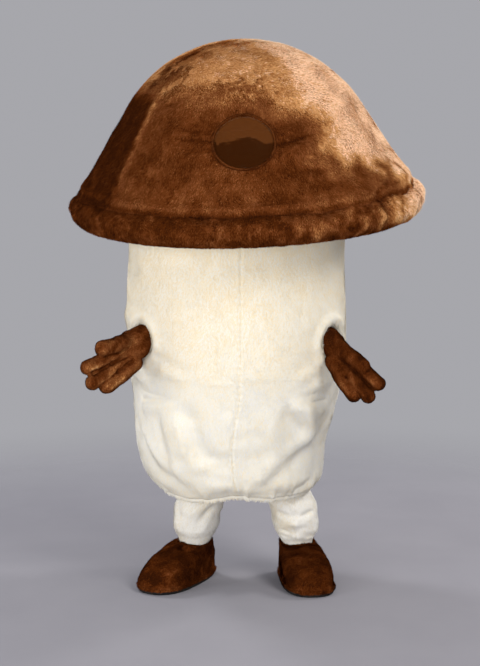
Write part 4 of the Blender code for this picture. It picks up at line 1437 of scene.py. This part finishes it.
def glove_lines(side):
    """Creases and ridges along the fingers: start, end, width, depth and hold."""
    palm = hand_frame(side)[3]
    strength = GROOVE_STRENGTH[side]
    lines = []
    for upper, lower in itertools.pairwise(FINGERS):
        root, knuckle, tip = ((Vector(a) + Vector(b)) / 2 for a, b in zip(upper, lower))
        root, knuckle, tip = hand_places(side, (root, knuckle, tip))
        for out in (palm, -palm):
            start = knuckle + out * 0.020
            lines.append((start, tip + out * 0.010, 0.0065, -0.0095 * strength, 0.95))
            lines.append((start, root + out * 0.030, 0.0075, -0.0100 * strength, 0.60))
    for finger in FINGERS:
        root, _, tip = (Vector(place) + Vector((0, -0.012, 0.022)) for place in finger)
        tip, root = hand_places(side, (tip, root))
        lines.append((tip, root, 0.0085, 0.0026, 0.75))
    root, tip = (Vector(place) for place in THUMBS[side])
    under = Vector((0, -0.024, -0.006))
    start, end = hand_places(side, (tip + under, root + under))
    lines.append((start, end, 0.0085, -0.0110, 0.90))
    return lines


def glove_relief(side):
    def relief(points):
        total = 0.0022 * noise(points, 0.035, 91) + 0.0014 * noise(points, 0.016, 92)
        for start, end, width, depth, hold in glove_lines(side):
            total += crease(points, start, end, width, depth, hold)
        return total

    return relief


def glove_tone_and_painted_light(side):
    """Darker towards the cuff, with painted highlights of the nap's sheen along the fingers' ridges and
    painted shade in the grooves between them.
    """
    wrist, along, across, palm = (np.array(v) for v in hand_frame(side))
    base = {"left": 0.42, "right": 0.23}[side]
    lines = glove_lines(side)

    def tone(points):
        local = points - wrist
        way, side_way, out = local @ along, local @ across, local @ palm
        stretched = np.stack([way * 0.35, side_way, out], axis=1)
        value = base + 0.16 * noise(stretched, 0.018, 93) + 0.08 * noise(points, 0.010, 94)
        # Painted shade in the grooves and painted highlights on the ridges, along the same lines as the
        # relief.
        for start, end, width, depth, hold in lines:
            value += crease(points, start, end, width, (34 if depth < 0 else 75) * depth, hold)
        return value - 0.14 * rises(way, 0.04, -0.03)

    return tone


def build_glove(side):
    """A glove with a thumb and three fingers: stuffed lengths run together, open at its cuff."""
    body = joined(f"glove_skin_{side}", [capsule(*part) for part in glove_parts(side)])
    remesh = body.modifiers.new("Join", "REMESH")
    remesh.mode = "VOXEL"
    remesh.voxel_size = GLOVE_VOXEL
    soften = body.modifiers.new("Soften", "SMOOTH")
    soften.factor = 0.5
    soften.iterations = 4
    evaluated(body)
    centre, out = armhole_place(side)
    with edited(body.data) as shape:
        inside = [v for v in shape.verts if (np.array(v.co) - centre) @ out < -GLOVE_CUFF_INSIDE]
        bmesh.ops.delete(shape, geom=inside, context="VERTS")
    pushed(body, glove_relief(side))
    tone = glove_tone_and_painted_light(side)
    shade_skin(body, tone, BROWN_SKINS)
    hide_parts(f"glove_{side}")
    wrist, along = (np.array(v) for v in hand_frame(side)[:2])

    def flow(points):
        share = rises((points - wrist) @ along, -0.02, 0.05)[:, None]
        return out * (1 - share) + along * share

    def outside(points):
        return (points - centre) @ out > -0.030

    pile = grow_pile(f"glove_pile_{side}", body, "glove", flow, tone, BROWN_PILE, outside)
    return [(body, "brown_plush"), (pile, "brown_plush")]


# Trousers


LEG_FOLDS = {  # start and end as (x, y, z), width, depth
    "left": (
        ((-0.100, -0.078, 0.296), (-0.200, -0.080, 0.206), 0.013, -0.010),
        ((-0.118, -0.080, 0.312), (-0.225, -0.070, 0.240), 0.016, 0.007),
        ((-0.120, -0.075, 0.230), (-0.190, -0.080, 0.172), 0.012, 0.006),
        ((-0.250, -0.030, 0.300), (-0.235, -0.060, 0.215), 0.014, -0.006),
        ((-0.180, 0.085, 0.290), (-0.235, 0.070, 0.205), 0.015, -0.008),
        ((-0.110, 0.060, 0.240), (-0.190, 0.085, 0.195), 0.015, -0.007),
    ),
    "right": (
        ((0.115, -0.068, 0.252), (0.180, -0.082, 0.244), 0.012, -0.010),
        ((0.248, -0.058, 0.258), (0.185, -0.080, 0.246), 0.012, -0.010),
        ((0.180, -0.084, 0.222), (0.240, -0.066, 0.218), 0.016, 0.008),
        ((0.180, -0.084, 0.222), (0.128, -0.070, 0.218), 0.016, 0.008),
        ((0.178, -0.085, 0.285), (0.230, -0.060, 0.300), 0.018, 0.006),
        ((0.120, -0.060, 0.192), (0.180, -0.078, 0.182), 0.010, -0.006),
        ((0.180, 0.088, 0.270), (0.130, 0.070, 0.215), 0.015, -0.008),
        ((0.250, 0.035, 0.250), (0.200, 0.085, 0.215), 0.015, -0.007),
    ),
}


def leg_relief(side):
    def relief(points):
        height = points[:, 2]
        total = 0.0030 * noise(points, 0.055, 101, (1, 1, 2.0)) + 0.0012 * noise(points, 0.022, 102)
        for start, end, width, depth in LEG_FOLDS[side]:
            total += crease(points, start, end, width, depth)
        bunched = hump(height, 0.166, 0.020)
        total += 0.0035 * bunched * noise(points, 0.028, 103, (0.6, 0.6, 2.5))
        seam = points[:, 0] - SIDES[side] * np.interp(height, (0.14, 0.35), (0.188, 0.150))
        total -= 0.0018 * hump(seam, 0, 0.003) * (points[:, 1] < 0) * (side == "right")
        return total * rises(height, 0.145, 0.165)

    return relief


def leg_tone(points):
    return 0.62 + 0.45 * noise(points, 0.06, 105)


def build_trousers():
    """Two legs that run up into the hips, cut from cream plush."""
    aside, back, radius = (smoothed(LEG_AXIS, *curve) for curve in ((1, 0.03), (2, 0.03), (3, 0.02)))
    turns = full_circle(TROUSER_TURNS)
    shells = []
    for side, sign in SIDES.items():
        heights = np.concatenate([np.linspace(0.745, 0.380, 12)[:-1], np.linspace(0.380, 0.075, 76)])
        turn, height = np.meshgrid(turns, heights)
        reach = radius(height) + LEG_FULLER * rises(height, 0.150, 0.200)
        grid = round_axis(reach, turn, height, sign * aside(height), back(height))
        shells.append(pushed(grid_object(f"leg_{side}", grid), leg_relief(side)))
    turn, height = np.meshgrid(turns, np.linspace(HIP_PROFILE[0][0], HIP_PROFILE[-1][0], 30))
    reach = smoothed(HIP_PROFILE, 1, 0.02)(height) - 0.002
    grid = round_axis(reach, turn, height) * (1, HIP_FLATNESS, 1) + (0, HIP_Y, 0)
    shells.append(pushed(grid_object("hips", grid), lambda p: 0.003 * noise(p, 0.06, 104)))
    trousers = joined("trouser_skin", shells)
    trousers.data.materials.append(CREAM_SKINS[1])
    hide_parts("trousers")

    def in_sight(points):
        return (points[:, 2] < 0.40) & (points[:, 2] > 0.135)

    pile = grow_pile(
        "trouser_pile", trousers, "trousers", falling, leg_tone, LEG_PILE_PAINTED_LIGHT, in_sight, 0.15, 0.18
    )
    return [(trousers, "cream_plush"), (pile, "cream_plush")]


# Overshoes


def powered(value, power):
    return np.sign(value) * np.abs(value) ** power


def sole_outline(turn, inset):
    """The sole's outline, turn 0 at the toe: a squarish oval that widens towards it."""
    middle = (HEEL_BACK - TOE_FRONT) / 2
    half = (HEEL_BACK + TOE_FRONT) / 2 - inset
    ahead = powered(np.cos(turn), OUTLINE_SQUARENESS)
    aside = powered(np.sin(turn), OUTLINE_SQUARENESS)
    widening = (1 + np.sin(np.pi / 2 * ahead)) / 2
    width = HEEL_HALF_WIDTH + (TOE_HALF_WIDTH - HEEL_HALF_WIDTH) * widening - inset
    return np.stack([width * aside, middle - half * ahead], axis=-1)


def shoe_surface(turn, share, inset):
    """The upper: share 0 on the round collar, 1 on the sole's outline."""
    collar = np.stack([np.sin(turn), -np.cos(turn)], axis=-1) * (COLLAR_RADIUS - inset)
    dome_out, dome_down = np.sin(np.pi / 2 * share), 1 - np.cos(np.pi / 2 * share)
    out = share + (dome_out - share) * SHOE_FULLNESS
    down = share + (dome_down - share) * SHOE_FULLNESS
    place = collar + (sole_outline(turn, inset) - collar) * out[..., None]
    top = COLLAR_HEIGHT - COLLAR_DIP * (1 + np.cos(turn)) / 2 + 0.004 * np.sin(3 * turn + 1) * (1 - share)
    low = SOLE_THICKNESS + 0.0005
    return np.concatenate([place, (top + (low - top) * down)[..., None]], axis=-1)


def shoe_to_world(side, points):
    turn = SHOE_TURNS[side]
    spin = np.array(((math.cos(turn), math.sin(turn), 0), (-math.sin(turn), math.cos(turn), 0), (0, 0, 1)))
    return points @ spin + np.array((SIDES[side] * SHOE_X, SHOE_Y, 0))


SHOE_CREASES = {  # start and end in the shoe's own frame, width, depth
    "left": (
        ((0.030, -0.075, 0.125), (0.085, -0.170, 0.070), 0.014, -0.007),
        ((-0.020, -0.070, 0.125), (0.020, -0.200, 0.090), 0.018, 0.008),
        ((-0.055, -0.060, 0.100), (-0.075, -0.150, 0.070), 0.015, -0.006),
        ((0.000, -0.278, 0.040), (-0.040, -0.230, 0.075), 0.018, -0.006),
    ),
    "right": (
        ((-0.045, -0.085, 0.112), (0.040, -0.090, 0.110), 0.010, -0.007),
        ((0.045, -0.105, 0.104), (-0.040, -0.110, 0.102), 0.009, -0.006),
        ((-0.078, -0.120, 0.075), (-0.085, -0.240, 0.040), 0.013, 0.006),
        ((0.010, -0.180, 0.095), (0.030, -0.262, 0.060), 0.026, -0.008),
    ),
}


def shoe_relief(side):
    lines = [(shoe_to_world(side, np.array(start)), shoe_to_world(side, np.array(end)), width, depth)
             for start, end, width, depth in SHOE_CREASES[side]]

    def relief(points):
        total = 0.0030 * noise(points, 0.060, 111) + 0.0018 * noise(points, 0.026, 112)
        for start, end, width, depth in lines:
            total += crease(points, start, end, width, depth)
        return total * rises(points[:, 2], SOLE_THICKNESS, SOLE_THICKNESS + 0.012)

    return relief


def shoe_tone(points):
    tone = 0.16 + 0.18 * noise(points, 0.055, 113) + 0.12 * noise(points, 0.022, 114)
    tone += 0.07 * noise(points, 0.010, 115)
    return tone + 0.10 * rises(points[:, 2], 0.05, 0.025)


def build_shoe(side):
    """A plush upper whose collar turns in over its lining."""
    turns = full_circle(SHOE_COLUMNS)
    rings = []
    for i in range(LINING_ROWS):
        share = LINING_REACH * (1 - i / LINING_ROWS)
        ring = shoe_surface(turns, np.full(SHOE_COLUMNS, share), SHOE_WALL + SHOE_INSET)
        ring[:, 2] -= 0.004 * share / LINING_REACH
        rings.append(ring)
    for i in range(1, LIP_ROWS + 1):
        over = math.pi * i / (LIP_ROWS + 1)
        inset = SHOE_WALL * (1 + math.cos(over)) / 2
        ring = shoe_surface(turns, np.zeros(SHOE_COLUMNS), inset + SHOE_INSET)
        ring[:, 2] += 0.003 * math.sin(over)
        rings.append(ring)
    for share in np.linspace(0, 1, OUTER_ROWS):
        rings.append(shoe_surface(turns, np.full(SHOE_COLUMNS, share), SHOE_INSET))
    for spare, level in SOLE_EDGE:
        outline = sole_outline(turns, -spare)
        rings.append(np.concatenate([outline, np.full((SHOE_COLUMNS, 1), level)], axis=1))
    skin = grid_object(f"shoe_skin_{side}", shoe_to_world(side, np.stack(rings)))
    pushed(skin, shoe_relief(side))
    shade_skin(skin, shoe_tone, BROWN_SKINS)
    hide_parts(f"shoe_upper_{side}")
    ankle = np.array((SIDES[side] * SHOE_X, SHOE_Y, 0))

    def flow(points):
        away = unit((points - ankle) * (1, 1, 0))
        return away * 0.7 + np.array((0, 0, -0.7))

    def above_sole(points):
        return points[:, 2] > 0.015

    pile = grow_pile(f"shoe_pile_{side}", skin, "shoe", flow, shoe_tone, BROWN_PILE, above_sole)
    return [(skin, "brown_plush"), (pile, "brown_plush")]


# The frame's own parts that stay as they are


def finish_frame_parts():
    """Materials of the hidden parts and the soles, which keep the frame's own shapes."""
    shoulder_pads = ("shoulder_pad_left", "shoulder_pad_right")
    finishes = (
        (foam_material(), ("cap_foam", "cap_deck", "stem_foam", "helmet_pad")),
        (plastic_material(), ("helmet_shell", "helmet_frame", "stem_hoop")),
        (webbing_material(), ("chin_strap", "waistband", *shoulder_pads, "brace_left", "brace_right")),
        (rubber_material(), ("shoe_sole_left", "shoe_sole_right")),
    )
    for finish, names in finishes:
        for name in names:
            NODES[name].data.materials.clear()
            NODES[name].data.materials.append(finish)
    for fill, names in (
        (0.8, ("helmet_pad",)),
        (0.7, shoulder_pads),
        (1.0, ("cap_foam", "stem_foam", "cap_deck")),
    ):
        for name in names:
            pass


# Stage


def area_light(name, place, aim, size, power, colour=(1, 1, 1)):
    data = bpy.data.lights.new(name, "AREA")
    data.shape = "DISK"
    data.size = size
    data.energy = power
    data.color = colour
    lamp = object_of(name, data)
    lamp.location = place
    lamp.rotation_euler = (Vector(aim) - Vector(place)).to_track_quat("-Z", "Y").to_euler()


def build_stage():
    """The floor, the studio's even light and its lamps."""
    mesh = bpy.data.meshes.new("floor")
    with edited(mesh) as shape:
        bmesh.ops.create_circle(shape, cap_ends=True, segments=96, radius=14)
    floor = object_of("floor", mesh)
    mesh.materials.append(floor_material((0.290, 0.285, 0.318), (0.310, 0.304, 0.338)))
    world = bpy.data.worlds.new("studio")
    bpy.context.scene.world = world
    world.use_nodes = True
    background = world.node_tree.nodes["Background"]
    background.inputs["Color"].default_value = (0.385, 0.385, 0.41, 1)
    background.inputs["Strength"].default_value = 1.0
    area_light("key", (2.8, -3.2, 3.8), (0, 0, 1.5), 2.2, 130, (1.0, 0.97, 0.92))
    area_light("front", (-1.1, -6.0, 0.9), (0, 0, 0.9), 3.6, 200, (1.0, 0.985, 0.95))
    area_light("fill", (-4.0, -2.6, 1.2), (0, 0, 0.8), 3.0, 85, (1.0, 0.99, 0.97))
    area_light("rim", (-2.4, 2.4, 3.4), (0, 0, 1.6), 1.0, 70)
    area_light("right_rim", (3.0, 1.8, 3.0), (0, 0, 1.5), 1.0, 60, (1.0, 0.97, 0.93))
    bpy.context.scene.view_settings.view_transform = "Standard"


def build_camera():
    data = bpy.data.cameras.new("camera")
    data.lens = CAMERA_LENS
    data.sensor_width = 36
    camera = object_of("camera", data)
    camera.location = CAMERA_PLACE
    camera.rotation_euler = (CAMERA_PITCH, 0, 0)
    bpy.context.scene.camera = camera


BROWN_SKINS = [
    plush_skin("brown_backing_dark", (BROWNS[0], BROWNS[1], BROWNS[2]), 0.05),
    plush_skin("brown_backing", (BROWNS[1], BROWNS[2], BROWNS[3]), 0.1),
    plush_skin("brown_backing_tan", (BROWNS[3], BROWNS[4], BROWNS[5]), 0.15),
]
CREAM_SKINS = [
    plush_skin("cream_backing_warm", (CREAMS[0], CREAMS[1], CREAMS[1]), 0.2),
    plush_skin("cream_backing", (CREAMS[1], CREAMS[2], CREAMS[2]), 0.2),
    plush_skin("cream_backing_white", (CREAMS[2], CREAMS[3], CREAMS[3]), 0.2),
]
BROWN_PILE = [pile_shade(f"brown_pile_{i}", colour, 0.20, 0.14) for i, colour in enumerate(BROWNS)]
CREAM_PILE = [pile_shade(f"cream_pile_{i}", colour, 0.1, 0.03) for i, colour in enumerate(CREAMS)]
LEG_PILE_PAINTED_LIGHT = [pile_shade(f"leg_pile_{i}", colour, 0.1, 0.03) for i, colour in enumerate(LEG_CREAMS_PAINTED_LIGHT)]

made = build_stem() + build_crown() + build_rim() + build_net() + build_binding()
made += build_trousers()
for side in SIDES:
    made += build_armhole_cuff(side) + build_glove(side) + build_shoe(side)
made += build_underside()
finish_frame_parts()
for piece, slot in made:
    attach(piece, "root")
build_stage()
build_camera()
